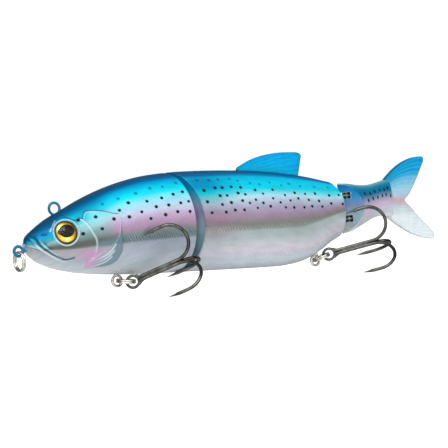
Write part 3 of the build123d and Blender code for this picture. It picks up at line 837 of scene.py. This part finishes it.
    # The rim round the eye is pale, more so at its lower side: painted highlight.
    pale = np.maximum(pale, (0.45 + 0.15 * smooth(angle, 60, 95)) * eye_rim)
    brow, _ = distance_to_line(points, BROW_FRONT)
    raised += groove(brow, 0.5, 0.15)
    dark = np.maximum(dark, 0.5 * smooth(brow, 0.7, 0.2))
    socket, share = distance_to_line(points, SOCKET_FRONT)
    pale = np.maximum(pale, 0.4 * smooth(socket, 0.4, 0.1))
    nostril, _ = distance_to_line(points, NOSTRIL)
    raised += groove(nostril, 0.34, 0.26)
    dark = np.maximum(dark, 0.5 * smooth(nostril, 0.45, 0.15))

    at["dark"], at["pale"], at["blush"], at["shadow"] = dark, pale, np.clip(blush, 0, 0.8), shadow
    at["spots"], at["spot_strength"] = distance_to_spots(points, HEAD_SPOTS, 3)
    at["comb_dark"] = np.zeros(len(x))
    off_plate = 1 - plate.astype(float)
    at["scales"] = smooth(x, 30, 38) * smooth(angle, 8, 30) * smooth(angle, 160, 130) * off_plate
    at["comb"] = smooth(x, 34, 38) * np.exp(-((angle - 103) / 7.0) ** 2)
    return raised, at


def dress_body(points, x, angle):
    at = paint_coordinates(x, angle, points)
    drift = np.clip((x - 68) / 59, 0, 1.1)
    shift = drift * np.interp(angle, (0, 28, 57, 100, 130, 180), (0, 1, 8, 5, 1, 0))
    rear_shift = np.interp(angle, (50, 60, 75, 86, 93, 100, 112, 128), (0, -7, -7, -3, 0, 6, 7, 0))
    shift += smooth(x, 108, 132) * rear_shift
    at["around"] = (angle + shift) / 180
    zeros = np.zeros(len(x))
    # The skin is darkened along its front edge at the joint: painted shade.
    edge = smooth(x - (WEDGE_X + WEDGE_SLOPE * np.abs(points[:, 1])), 0.4, 0.1)
    at["dark"], at["pale"], at["shadow"], at["blush"] = 0.22 * edge, zeros, zeros, zeros
    at["spots"], at["spot_strength"] = distance_to_spots(points, BODY_SPOTS, 5)
    at["scales"] = smooth(angle, 10, 32) * smooth(angle, 172, 140)
    at["comb"] = np.exp(-((angle + drift * 8 - 105) / 4.5) ** 2)
    at["comb_dark"] = np.exp(-((angle + drift * 6 - 142) / 7.0) ** 2)
    return zeros.copy(), at


def dress_tail(points, x, angle):
    at = paint_coordinates(x, angle, points)
    at["around"] = angle / 180
    zeros = np.zeros(len(x))
    at["pale"], at["blush"], at["shadow"] = zeros, zeros, zeros
    # The skin is darker on its upper half at its rear end, and along its front edge at the joint, where the
    # darkening is painted shade.
    front_edge = smooth(x - (TAIL_WEDGE_X + TAIL_WEDGE_SLOPE * np.abs(points[:, 1])), 0.4, 0.1)
    at["dark"] = 0.4 * smooth(TAIL_SKIN_END - x, 0.5, 0.1) * smooth(angle, 95, 75) + 0.3 * front_edge
    at["spots"], at["spot_strength"] = distance_to_spots(points, TAIL_SPOTS, 7, stretch=1.4)
    at["comb_dark"] = zeros
    at["scales"] = smooth(angle, 25, 40) * smooth(angle, 125, 95) * 1.6
    at["comb"] = zeros
    return zeros.copy(), at


def cut_slots(piece, hinge_x, from_x, heights):
    """Cut the square slots of a joint's wire eyes, lined with dark unpainted plastic."""
    for height in heights:
        low = (from_x - 2.0, -SLOT_HALF[0], height - SLOT_HALF[1])
        high = (hinge_x + SLOT_BEYOND, SLOT_HALF[0], height + SLOT_HALF[1])
        corners = [(x, y, z) for x in (low[0], high[0]) for y in (low[1], high[1]) for z in (low[2], high[2])]
        sides = [(0, 1, 3, 2), (4, 6, 7, 5), (0, 4, 5, 1), (2, 3, 7, 6), (0, 2, 6, 4), (1, 5, 7, 3)]
        cutter = make_mesh("cutter", corners, sides)
        for material in piece.data.materials:
            cutter.data.materials.append(material)
        for polygon in cutter.data.polygons:
            polygon.material_index = 2
        cut = piece.modifiers.new("cut", "BOOLEAN")
        cut.operation, cut.solver, cut.object = "DIFFERENCE", "EXACT", cutter
        with bpy.context.temp_override(object=piece, active_object=piece, selected_objects=[piece]):
            bpy.ops.object.modifier_apply(modifier=cut.name)
        bpy.data.objects.remove(cutter)
    piece.data.set_sharp_from_angle(angle=math.radians(35))


def paint_section(piece, index, paint, facet):
    for material in (paint, facet, SLOT_DARK):
        piece.data.materials.append(material)
    piece.data.polygons.foreach_set("material_index", index)


FINE = 1.0


def build_skins():
    head, index = make_section("head_skin", (NOSE_X, 0.0), (CUP_X, CUP_SLOPE), int(228 * FINE),
                               int(190 * FINE) * 2, dress_head, round_front=True)
    paint_section(head, index, HEAD_PAINT_AND_LIGHT, BODY_FACET)
    finish_piece(head, "head", "painted_shell", "head_shell_left", "head_shell_right")

    body, index = make_section("body_skin", (WEDGE_X, WEDGE_SLOPE), (BODY_END_X, 0.0), int(250 * FINE),
                               int(180 * FINE) * 2, dress_body, rear_rim=(2.6, 0.3))
    paint_section(body, index, FLANK_PAINT_AND_LIGHT, BODY_FACET)
    cut_slots(body, FRONT_HINGE_X, WEDGE_X, FRONT_EYE_HEIGHTS)
    finish_piece(body, "body", "painted_shell", "body_shell_left", "body_shell_right")

    tail, index = make_section("tail_skin", (TAIL_WEDGE_X, TAIL_WEDGE_SLOPE), (TAIL_SKIN_END, 0.0),
                               int(130 * FINE), int(120 * FINE) * 2, dress_tail)
    paint_section(tail, index, ROOT_PAINT_AND_LIGHT, TAIL_FACET)
    cut_slots(tail, REAR_HINGE_X, TAIL_WEDGE_X, REAR_EYE_HEIGHTS)
    finish_piece(tail, "tail", "painted_shell", "tail_shell_left", "tail_shell_right")


# ---------------------------------------------------------------- eyes
PUPIL_CENTRE, PUPIL_HALF = (0.2, 0.35), (2.6, 2.2)
# How bright the gold is round the ring, from the tail side over the top: degrees, brightness. The brightness
# is painted reflection of the lamps on the gold film.
IRIS_PAINTED_LIGHT = [(0, 0.25), (45, 0.25), (90, 0.55), (135, 1.1), (180, 0.5), (215, 0.75), (270, 1.1),
             (315, 0.6), (360, 0.25)]


def make_eye_side(hand, side):
    """Iris and clear dome of one eye. hand is -1 on the left and +1 on the right."""
    back = Vector((1, 0, 0)) - EYE_NORMAL * EYE_NORMAL.x
    back.normalize()
    up = EYE_NORMAL.cross(back)
    rings, spokes = 30, 72

    def dome(radius, height, sink, start=0.0):
        points, radii, turns = [], [], []
        for i in range(rings + 1):
            r = radius * i / rings
            lift = height * (1 - (i / rings) ** 2) + sink
            for j in range(spokes):
                turn = 2 * math.pi * j / spokes
                p = EYE_CENTRE + back * (r * math.cos(turn)) + up * (r * math.sin(turn)) + EYE_NORMAL * lift
                points.append(p)
                radii.append(i / rings)
                turns.append(turn)
        skirt = [EYE_CENTRE + (p - EYE_CENTRE) - EYE_NORMAL * 0.8 for p in points[-spokes:]]
        points += skirt
        radii += [1.0] * spokes
        turns += turns[:spokes]
        base = EYE_CENTRE + EYE_NORMAL * (sink - 0.8)
        points.append(base)
        radii.append(1.0)
        turns.append(0.0)
        faces = []
        for i in range(rings + 1):
            for j in range(spokes):
                k = (j + 1) % spokes
                a, b = i * spokes, (i + 1) * spokes
                faces.append((a + j, b + j, b + k, a + k))
        last = (rings + 1) * spokes
        faces += [(last + j, last + spokes, last + (j + 1) % spokes) for j in range(spokes)]
        verts = np.array([(p.x, p.y * -hand, p.z) for p in points])
        if hand > 0:
            faces = [f[::-1] for f in faces]
        return verts, faces, np.array(radii), np.array(turns)

    verts, faces, radii, turns = dome(EYE_RADIUS, 0.75, -0.05)
    iris = make_mesh(f"eye_iris_{side}", verts, faces, 60)
    distance = radii * EYE_RADIUS
    a, b = distance * np.cos(turns) - PUPIL_CENTRE[0], distance * np.sin(turns) - PUPIL_CENTRE[1]
    heading = np.arctan2(b, a)
    reach = 1 / np.hypot(np.cos(heading) / PUPIL_HALF[0], np.sin(heading) / PUPIL_HALF[1])
    reach *= 1 + 0.2 * np.exp(-((np.abs(heading) - math.pi) / 0.3) ** 2)
    # Painted reflection round the ring, made darker towards the iris's rim.
    glow = np.interp(np.degrees(turns), *zip(*IRIS_PAINTED_LIGHT)) - 0.35 * smooth(radii, 0.7, 0.95)
    add_attribute(iris, "glow", glow)
    add_attribute(iris, "radius", radii)
    add_attribute(iris, "turn", turns)
    add_attribute(iris, "pupil", np.hypot(a, b) - reach)
    iris.data.materials.append(IRIS)
    finish_piece(iris, "head", "iris", f"eye_{side}")

    verts, faces, _, _ = dome(EYE_RADIUS - 0.12, 1.15, 0.02)
    lens = make_mesh(f"eye_dome_{side}", verts, faces, 60)
    lens.data.materials.append(LENS)
    finish_piece(lens, "head", "clear_lens", f"eye_lens_{side}")


# ---------------------------------------------------------------- wire work
def tube(path, radii, closed=False, sides=20, flat=None):
    """Points and faces of a round wire along a path. flat: (share of the width, share of the height)."""
    path = np.asarray(path, float)
    radii = np.broadcast_to(np.asarray(radii, float), (len(path),))
    if closed:
        tangents = np.roll(path, -1, axis=0) - np.roll(path, 1, axis=0)
    else:
        tangents = np.gradient(path, axis=0)
    tangents /= np.linalg.norm(tangents, axis=1, keepdims=True)
    side = np.cross(tangents[0], (0.0, 0.0, 1.0))
    if np.linalg.norm(side) < 0.1:
        side = np.cross(tangents[0], (0.0, 1.0, 0.0))
    side /= np.linalg.norm(side)
    turns = np.linspace(0, 2 * math.pi, sides, endpoint=False)
    wide, high = flat or (1.0, 1.0)
    verts = []
    for point, tangent, radius in zip(path, tangents, radii):
        side = side - tangent * (side @ tangent)
        side /= np.linalg.norm(side)
        other = np.cross(tangent, side)
        around = np.outer(np.cos(turns) * wide, side) + np.outer(np.sin(turns) * high, other)
        verts.append(point + radius * around)
    count = len(path)
    faces = []
    for i in range(count if closed else count - 1):
        a, b = i * sides, ((i + 1) % count) * sides
        faces += [(a + j, a + (j + 1) % sides, b + (j + 1) % sides, b + j) for j in range(sides)]
    if not closed:
        faces += [tuple(range(sides))[::-1], tuple((count - 1) * sides + j for j in range(sides))]
    return np.concatenate(verts), faces


def join_shapes(shapes):
    verts, faces, count = [], [], 0
    for points, polygons in shapes:
        verts.append(points)
        faces += [tuple(v + count for v in polygon) for polygon in polygons]
        count += len(points)
    return np.concatenate(verts), faces


def place(points, origin, x_dir, z_dir):
    """Points of a local frame, put in the fish's frame."""
    z = np.array(z_dir, float) / np.linalg.norm(z_dir)
    x = np.array(x_dir, float) - z * (np.array(x_dir, float) @ z)
    x /= np.linalg.norm(x)
    return np.array(origin) + points @ np.array([x, np.cross(z, x), z])


def make_wire_eye(name, loop, wire, shank, origin, x_dir, z_dir, material, body, slot, node):
    """A loop of wire whose two ends close round each other and run on as a shank."""
    turns = np.linspace(0, 2 * math.pi, 72, endpoint=False)
    ring = np.stack([loop * np.cos(turns), loop * np.sin(turns), 0 * turns], axis=1)
    shapes = [tube(ring, wire, closed=True)]
    straight = np.array([(x, 0, 0) for x in np.linspace(loop, shank, 12)])
    shapes.append(tube(straight, wire))
    for hand in (-1, 1):
        t = np.linspace(0, 1, 12)
        neck = np.stack([loop * 0.86 + t * loop * 0.95, hand * loop * 0.5 * (1 - t) ** 2, 0 * t], axis=1)
        shapes.append(tube(neck, wire * 0.93))
    verts, faces = join_shapes(shapes)
    piece = make_mesh(name, place(verts, origin, x_dir, z_dir), faces, 50)
    piece.data.materials.append(material)
    return finish_piece(piece, body, slot, node)


def build_wire_eyes():
    make_wire_eye("nose_tie", 1.6, 0.5, 9.0, (0, 0, 0), (1, 0, 0), (0, -1, 0), WIRE_PAINT,
                  "head", "painted_wire", "nose_line_tie")
    make_wire_eye("top_tie", 2.0, 0.45, 7.0, (15.2, 0, 12.8), (0.5, 0, -0.866), (0, -1, 0), WIRE_PAINT,
                  "head", "painted_wire", "top_line_tie")
    make_wire_eye("front_hanger", 1.82, 0.48, 6.0, (36.4, 0, -13.8), (0, 0, 1), (0, -1, 0), STEEL,
                  "head", "steel_wire", "front_hook_hanger")
    make_wire_eye("rear_hanger", 1.82, 0.48, 8.0, (122.2, 0, -15.8), (0.3, 0, 1), (0, -1, 0), STEEL,
                  "body", "steel_wire", "rear_hook_hanger")
    for level, height in zip(("upper", "lower"), FRONT_EYE_HEIGHTS):
        make_wire_eye(f"front_knuckle_{level}", 1.55, 0.55, 10.0, (FRONT_HINGE_X, 0, height), (-1, 0, 0),
                      (0, 0, 1), DULL_STEEL, "head", "steel_wire", f"front_joint_eye_{level}")
    for level, height in zip(("upper", "lower"), REAR_EYE_HEIGHTS):
        make_wire_eye(f"rear_knuckle_{level}", 1.55, 0.55, 10.0, (REAR_HINGE_X, 0, height), (-1, 0, 0),
                      (0, 0, 1), DULL_STEEL, "body", "steel_wire", f"rear_joint_eye_{level}")


# ---------------------------------------------------------------- split rings
RING_RADIUS, RING_WIRE, TURN_PITCH = 3.1, 0.37, 0.70
FRONT_HANGER, REAR_HANGER = (36.4, 0, -13.8), (122.2, 0, -15.8)
HOOKS = {
    "front": ((40.0, -4.3, -14.7), (-0.395, -0.041, 0.918), (0.753, -0.588, 0.297)),
    "rear": ((127.3, -2.1, -14.15), (-0.274, -0.121, 0.954), (0.794, -0.588, 0.154)),
}


def ring_frame(hanger, hook_eye):
    """Centre and normal of the ring that links a hanger and a hook's eye."""
    chord = Vector(hook_eye) - Vector(hanger)
    across = Vector((0, 0, 1)).cross(chord).normalized()
    offset = math.sqrt(RING_RADIUS**2 - (chord.length / 2) ** 2)
    return Vector(hanger) + chord / 2 + across * offset, chord.cross(across)


def make_split_ring(name, centre, normal, start, body, node):
    """Two turns of flattened wire, stepping from one turn to the other by a short crank."""
    turns = np.linspace(0.12, 4 * math.pi - 0.12, 300)
    crank = smooth(turns, 2 * math.pi - 0.35, 2 * math.pi + 0.35)
    height = TURN_PITCH * (crank - 0.5)
    heading = turns + start
    path = np.stack([RING_RADIUS * np.cos(heading), RING_RADIUS * np.sin(heading), height], axis=1)
    ends = np.minimum(smooth(turns, 0.1, 0.3), smooth(turns, turns[-1], turns[-1] - 0.2))
    radii = RING_WIRE * (0.55 + 0.45 * ends)
    verts, faces = tube(path, radii, sides=16, flat=(1.0, 0.97))
    upright = abs(Vector(normal).normalized().z) < 0.9
    verts = place(verts, centre, (0.01, 0.02, 1.0) if upright else (1, 0, 0), normal)
    piece = make_mesh(name, verts, faces, 50)
    piece.data.materials.append(RING_NICKEL)
    return finish_piece(piece, body, "bright_ring", node)


def build_split_rings():
    make_split_ring("nose_ring", (0, 0, -3.4), (1, 0, 0), 0.6, "nose_ring", "nose_split_ring")
    for end, hanger in (("front", FRONT_HANGER), ("rear", REAR_HANGER)):
        centre, normal = ring_frame(hanger, HOOKS[end][0])
        make_split_ring(f"{end}_ring", centre, normal, 1.2, f"{end}_ring", f"{end}_split_ring")


# ---------------------------------------------------------------- treble hooks
HOOK_WIRE, EYE_WIRE, SHANK_OFFSET, HOOK_EYE = 0.62, 0.5, 0.66, 2.1
BEND_START, BEND_RADIUS = 16.8, 6.5
POINT_START, POINT_TIP = 14.2, (13.25, 9.9)
BARB_AT = 12.9


def hook_branch(from_z, turn):
    """One of the three wires: shank, round bend, and a point with its barb."""
    outer = SHANK_OFFSET + 2 * BEND_RADIUS
    shank = [(SHANK_OFFSET, z) for z in np.linspace(from_z, BEND_START, 14)[:-1]]
    angles = np.linspace(0, math.pi, 44)
    bend = [(SHANK_OFFSET + BEND_RADIUS * (1 - math.cos(t)), BEND_START + BEND_RADIUS * math.sin(t))
            for t in angles]
    before = [(outer, z) for z in np.linspace(BEND_START, POINT_START, 5)[1:-1]]
    t = np.linspace(0, 1, 16)
    spear = [(outer + (POINT_TIP[0] - outer) * s * s, POINT_START + (POINT_TIP[1] - POINT_START) * s)
             for s in t]
    flat = np.array(shank + bend + before + spear)
    radii = np.full(len(flat), HOOK_WIRE)
    radii[-16:] = HOOK_WIRE * (1 - t) ** 0.8 + 0.02
    radii[0] = HOOK_WIRE * 0.6
    path = np.stack([flat[:, 0], 0 * flat[:, 0], flat[:, 1]], axis=1)
    barb_path = np.array([(outer - 0.1, 0, BARB_AT - 1.2), (outer - 0.35, 0, BARB_AT - 0.4),
                          (outer - 0.72, 0, BARB_AT + 0.35), (outer - 1.02, 0, BARB_AT + 0.8)])
    shapes = [tube(path, radii), tube(barb_path, (0.22, 0.24, 0.14, 0.02), sides=10)]
    verts, faces = join_shapes(shapes)
    c, s = math.cos(turn), math.sin(turn)
    return verts @ np.array([(c, s, 0), (-s, c, 0), (0, 0, 1)]), faces


def make_treble(end):
    """A double hook bent from one wire, which forms the eye, with a third hook brazed on."""
    centre, up, shank = HOOKS[end]
    starts = {0: HOOK_EYE - 0.2, 1: HOOK_EYE - 0.1, 2: 8.6}
    shapes = [hook_branch(starts[k], 2 * math.pi * k / 3) for k in range(3)]
    turns = np.linspace(0, 2 * math.pi, 72, endpoint=False)
    loop = np.stack([HOOK_EYE * np.cos(turns), 0 * turns, HOOK_EYE * np.sin(turns)], axis=1)
    shapes.append(tube(loop, EYE_WIRE, closed=True))
    for hand in (-1, 1):
        t = np.linspace(0, 1, 14)
        neck = np.stack([hand * (1.1 * (1 - t) ** 1.8 + 0.6), 0 * t, 1.65 + t * 2.6], axis=1)
        shapes.append(tube(neck, EYE_WIRE))
    braze = np.array([(0, 0, z) for z in np.linspace(3.2, BEND_START - 0.8, 20)])
    shapes.append(tube(braze, np.concatenate([[0.1, 0.3, 0.42], np.full(14, 0.7), [0.6, 0.4, 0.1]])))
    verts, faces = join_shapes(shapes)
    piece = make_mesh(f"{end}_treble", place(verts, centre, up, shank), faces, 50)
    piece.data.materials.append(BLACK_NICKEL)
    return finish_piece(piece, f"{end}_hook", "black_nickel", f"{end}_treble_hook")


# ---------------------------------------------------------------- fins
def make_fin(name, base, tips, bulge, ribs, thick, columns, rows, fan=None):
    """A soft fin between its base line and its outer edge, with raised rays on both faces.

    base: points (x, z). tips: (share from 0 to 1, x, z). bulge: how far the lines from base to
    edge bow up at each end of the fin. thick: thickness at the base and at the outer edge.
    The rays run from base to edge, or out from the point fan.
    """
    base, tips = np.array(base, float), np.array(tips, float)
    t = np.linspace(0, 1, columns)
    low = np.stack([curve_through(np.linspace(0, 1, len(base)), base[:, k], t) for k in (0, 1)], axis=1)
    high = np.stack([curve_through(tips[:, 0], tips[:, k], t) for k in (1, 2)], axis=1)
    s = np.linspace(0, 1, rows)
    s = s + 0.08 * np.sin(math.pi * s) * s
    bow = np.interp(t, np.linspace(0, 1, len(bulge)), bulge)
    grid = low[None] + (high - low)[None] * s[:, None, None]
    grid[:, :, 1] += (4 * s * (1 - s))[:, None] * bow[None]
    gaps = [np.linalg.norm(grid - edge, axis=2) for edge in (grid[:, :1], grid[:, -1:], grid[-1:, :])]
    edge_gap = np.minimum.reduce(gaps)
    if fan:
        phase = ribs * np.arctan2(grid[:, :, 1] - fan[1], grid[:, :, 0] - fan[0])
    else:
        phase = np.broadcast_to(ribs * t * 2 * math.pi, edge_gap.shape)
    rib = (0.5 + 0.5 * np.cos(phase)) ** 5
    thickness = thick[0] + (thick[1] - thick[0]) * s[:, None] + 0.2 * rib
    thickness = thickness * (0.2 + 0.8 * np.sqrt(smooth(edge_gap, -0.1, 0.7)))
    verts = []
    for hand in (-1, 1):
        verts.append(np.stack([grid[:, :, 0], hand * thickness / 2, grid[:, :, 1]], axis=2).reshape(-1, 3))
    verts = np.concatenate(verts)
    size = columns * rows
    faces = []
    for i in range(rows - 1):
        for j in range(columns - 1):
            a = i * columns + j
            quad = (a, a + 1, a + columns + 1, a + columns)
            faces += [quad[::-1], tuple(v + size for v in quad)]
    rim = ([j for j in range(columns)] + [i * columns + columns - 1 for i in range(1, rows)]
           + [(rows - 1) * columns + j for j in range(columns - 2, -1, -1)]
           + [i * columns for i in range(rows - 2, 0, -1)])
    for a, b in zip(rim, rim[1:] + rim[:1]):
        faces.append((a, b, b + size, a + size))
    piece = make_mesh(name, verts, faces, 60)
    for key, values in (("ray", rib), ("across", np.broadcast_to(t, rib.shape)),
                        ("height", np.broadcast_to(s[:, None], rib.shape)),
                        ("edge", smooth(edge_gap, 0.65, 0.25))):
        add_attribute(piece, key, np.tile(values.ravel(), 2))
    return piece


def build_fins():
    tail = make_fin(
        "tail_fin_soft",
        base=[(158.9, 11.2), (159.6, 9.3), (160.0, 6.0), (160.0, 3.2), (159.9, 0.6), (159.6, -1.9),
              (158.9, -3.3)],
        tips=[(0, 178.9, 18.7), (0.025, 180.0, 18.5), (0.05, 180.25, 17.6), (0.125, 178.6, 14.6),
              (0.25, 174.8, 9.2), (0.375, 171.2, 4.9), (0.5, 168.6, 2.6), (0.62, 170.9, -0.1),
              (0.75, 175.4, -4.9), (0.9, 180.2, -9.8), (0.955, 181.7, -11.9), (0.985, 181.3, -13.1),
              (1.0, 180.0, -13.4)],
        bulge=(2.2, 1.5, 0.6, 0.0, -0.5, -1.2, -1.9), ribs=24, thick=(1.5, 0.55), columns=260, rows=70)
    tail.data.materials.append(TAIL_FIN_PAINT)
    finish_piece(tail, "tail", "soft_fin", "tail_fin")
    dorsal = make_fin(
        "dorsal_fin_soft",
        base=[(91.0, 19.4), (98.0, 18.4), (105.0, 17.4), (112.0, 16.2), (118.6, 14.8)],
        tips=[(0, 91.6, 20.9), (0.125, 97.3, 23.1), (0.25, 103.2, 24.4), (0.375, 109.1, 24.9),
              (0.5, 114.9, 24.8),
              (0.6, 119.6, 24.3), (0.64, 120.7, 23.7), (0.75, 120.3, 21.0), (0.87, 119.5, 18.4),
              (1, 118.7, 16.0)],
        bulge=(0.2, 0.8, 1.0, 0.8, 0.3, 0.0), ribs=120, thick=(1.3, 0.5),
        columns=200, rows=46, fan=(82.0, 18.5))
    dorsal.data.materials.append(DORSAL_PAINT)
    finish_piece(dorsal, "body", "soft_fin", "dorsal_fin")


# ---------------------------------------------------------------- carried-over CAD nodes
def dress_cad_nodes():
    for name, material in (("front_hinge_pin", DULL_STEEL), ("rear_hinge_pin", DULL_STEEL),
                           ("tail_fin_pin", STEEL),
                           ("head_weight", BALLAST), ("body_weight_front", BALLAST),
                           ("body_weight_rear", BALLAST), ("front_pin_plug", SLOT_DARK),
                           ("rear_pin_plug", SLOT_DARK)):
        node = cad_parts[name]
        node.data.materials.clear()
        node.data.materials.append(material)


# ---------------------------------------------------------------- studio
AIM = Vector((83.3, 0.0, 1.3))
CAMERA_DISTANCE = 630.0
CAMERA_YAW, CAMERA_ROLL = math.radians(35), math.radians(6.5)
LENS_MM = 142.15
WORLD_STRENGTH = 1.1


def build_camera():
    forward = Vector((math.sin(CAMERA_YAW), math.cos(CAMERA_YAW), 0))
    level = Vector((math.cos(CAMERA_YAW), -math.sin(CAMERA_YAW), 0))
    up = Vector((0, 0, 1))
    right = level * math.cos(CAMERA_ROLL) - up * math.sin(CAMERA_ROLL)
    top = level * math.sin(CAMERA_ROLL) + up * math.cos(CAMERA_ROLL)
    data = bpy.data.cameras.new("camera")
    data.lens, data.sensor_width = LENS_MM, 36.0
    data.clip_start, data.clip_end = 0.01, 50.0
    camera = bpy.data.objects.new("camera", data)
    turn = Matrix((right, top, -forward)).transposed().to_4x4()
    camera.matrix_world = Matrix.Translation((AIM - forward * CAMERA_DISTANCE) * MM) @ turn
    bpy.context.scene.collection.objects.link(camera)
    bpy.context.scene.camera = camera


def add_light(name, place_mm, size, power, colour=(1, 1, 1)):
    data = bpy.data.lights.new(name, "AREA")
    data.shape, data.size, data.size_y = "RECTANGLE", size[0], size[1]
    data.energy, data.color = power, colour
    light = bpy.data.objects.new(name, data)
    light.location = Vector(place_mm) * MM
    light.rotation_euler = (AIM - Vector(place_mm)).to_track_quat("-Z", "Y").to_euler()
    bpy.context.scene.collection.objects.link(light)


def build_world():
    """A white tent: the camera sees plain white, and the object also a few darker and lighter panels."""
    world = bpy.data.worlds.new("studio")
    world.use_nodes = True
    nodes, links = world.node_tree.nodes, world.node_tree.links
    g = Graph.__new__(Graph)
    g.nodes, g.links = nodes, links
    direction = nodes.new("ShaderNodeTexCoord").outputs["Generated"]

    def facing(x, y, z):
        dot = nodes.new("ShaderNodeVectorMath")
        dot.operation = "DOT_PRODUCT"
        links.new(direction, dot.inputs[0])
        dot.inputs[1].default_value = Vector((x, y, z)).normalized()
        return dot.outputs["Value"]

    height = g.math("MULTIPLY_ADD", facing(0, 0, 1), 0.5)
    height.node.inputs[2].default_value = 0.5
    tones = [(0.0, 1.12), (0.3, 1.05), (0.42, 0.95), (0.52, 0.92), (0.62, 1.0), (0.8, 0.95), (1.0, 0.7)]
    ramp = nodes.new("ShaderNodeValToRGB")
    elements = ramp.color_ramp.elements
    while len(elements) < len(tones):
        elements.new(0.5)
    for element, (position, tone) in zip(elements, tones):
        element.position = position
    for element, (position, tone) in zip(elements, tones):
        element.color = (tone, tone, tone, 1)
    links.new(height, ramp.inputs[0])
    left, right = facing(-0.75, 0.35, 0.1), facing(0.9, -0.45, 0.0)
    flags = g.math("MULTIPLY", g.step(left, 0.80, 0.93, 1.0, 0.25), g.step(right, 0.84, 0.95, 1.0, 0.25))
    soft_box = g.step(facing(-0.5, -0.6, 0.75), 0.86, 0.93, 0.0, 1.0)
    strength = g.math("ADD", g.math("MULTIPLY", ramp.outputs[0], flags), soft_box)
    path = nodes.new("ShaderNodeLightPath")
    background = nodes["Background"]
    background.inputs[0].default_value = (1, 1, 1, 1)
    front = g.step(facing(-0.574, -0.819, 0.1), -0.1, 0.75, 0.2, 1.25)
    front = g.math("MAXIMUM", front, g.step(facing(0, 0, -1), 0.3, 0.85, 0.0, 0.75))
    mirrored = g.math("MULTIPLY", strength, front)
    glossy = path.outputs["Is Glossy Ray"]
    strength = g.math("ADD", g.math("MULTIPLY", strength, g.math("SUBTRACT", 1.0, glossy)),
                      g.math("MULTIPLY", mirrored, glossy))
    level = g.math("MAXIMUM", g.math("MULTIPLY", strength, WORLD_STRENGTH), path.outputs["Is Camera Ray"])
    links.new(level, background.inputs[1])
    bpy.context.scene.world = world


def build_studio():
    build_world()
    add_light("key", (-150, -520, 620), (0.5, 0.3), 1.6)
    add_light("fill", (420, -520, 160), (0.4, 0.4), 0.5)
    low = CAD_BOUNDS[0][2] / MM - 35
    floor = make_mesh("floor", [(x * 8000, y * 8000, low) for x, y in ((-1, -1), (1, -1), (1, 1), (-1, 1))],
                      [(0, 1, 2, 3)])
    g = Graph("floor_white")
    g.set(Base_Color=g.mix(g.noise(g.position(1), 2.0), "e0e0e0", "eaeaea"), Roughness=0.8)
    g.set(Emission_Color=(1.0, 1.0, 1.0, 1.0), Emission_Strength=0.55)
    floor.data.materials.append(g.material)
    floor.visible_glossy = False
    floor.visible_diffuse = False
    bpy.context.scene.view_settings.view_transform = "Standard"


build_skins()
for hand, side in ((-1, "left"), (1, "right")):
    make_eye_side(hand, side)
build_wire_eyes()
build_split_rings()
for end in ("front", "rear"):
    make_treble(end)
build_fins()
dress_cad_nodes()
build_camera()
build_studio()
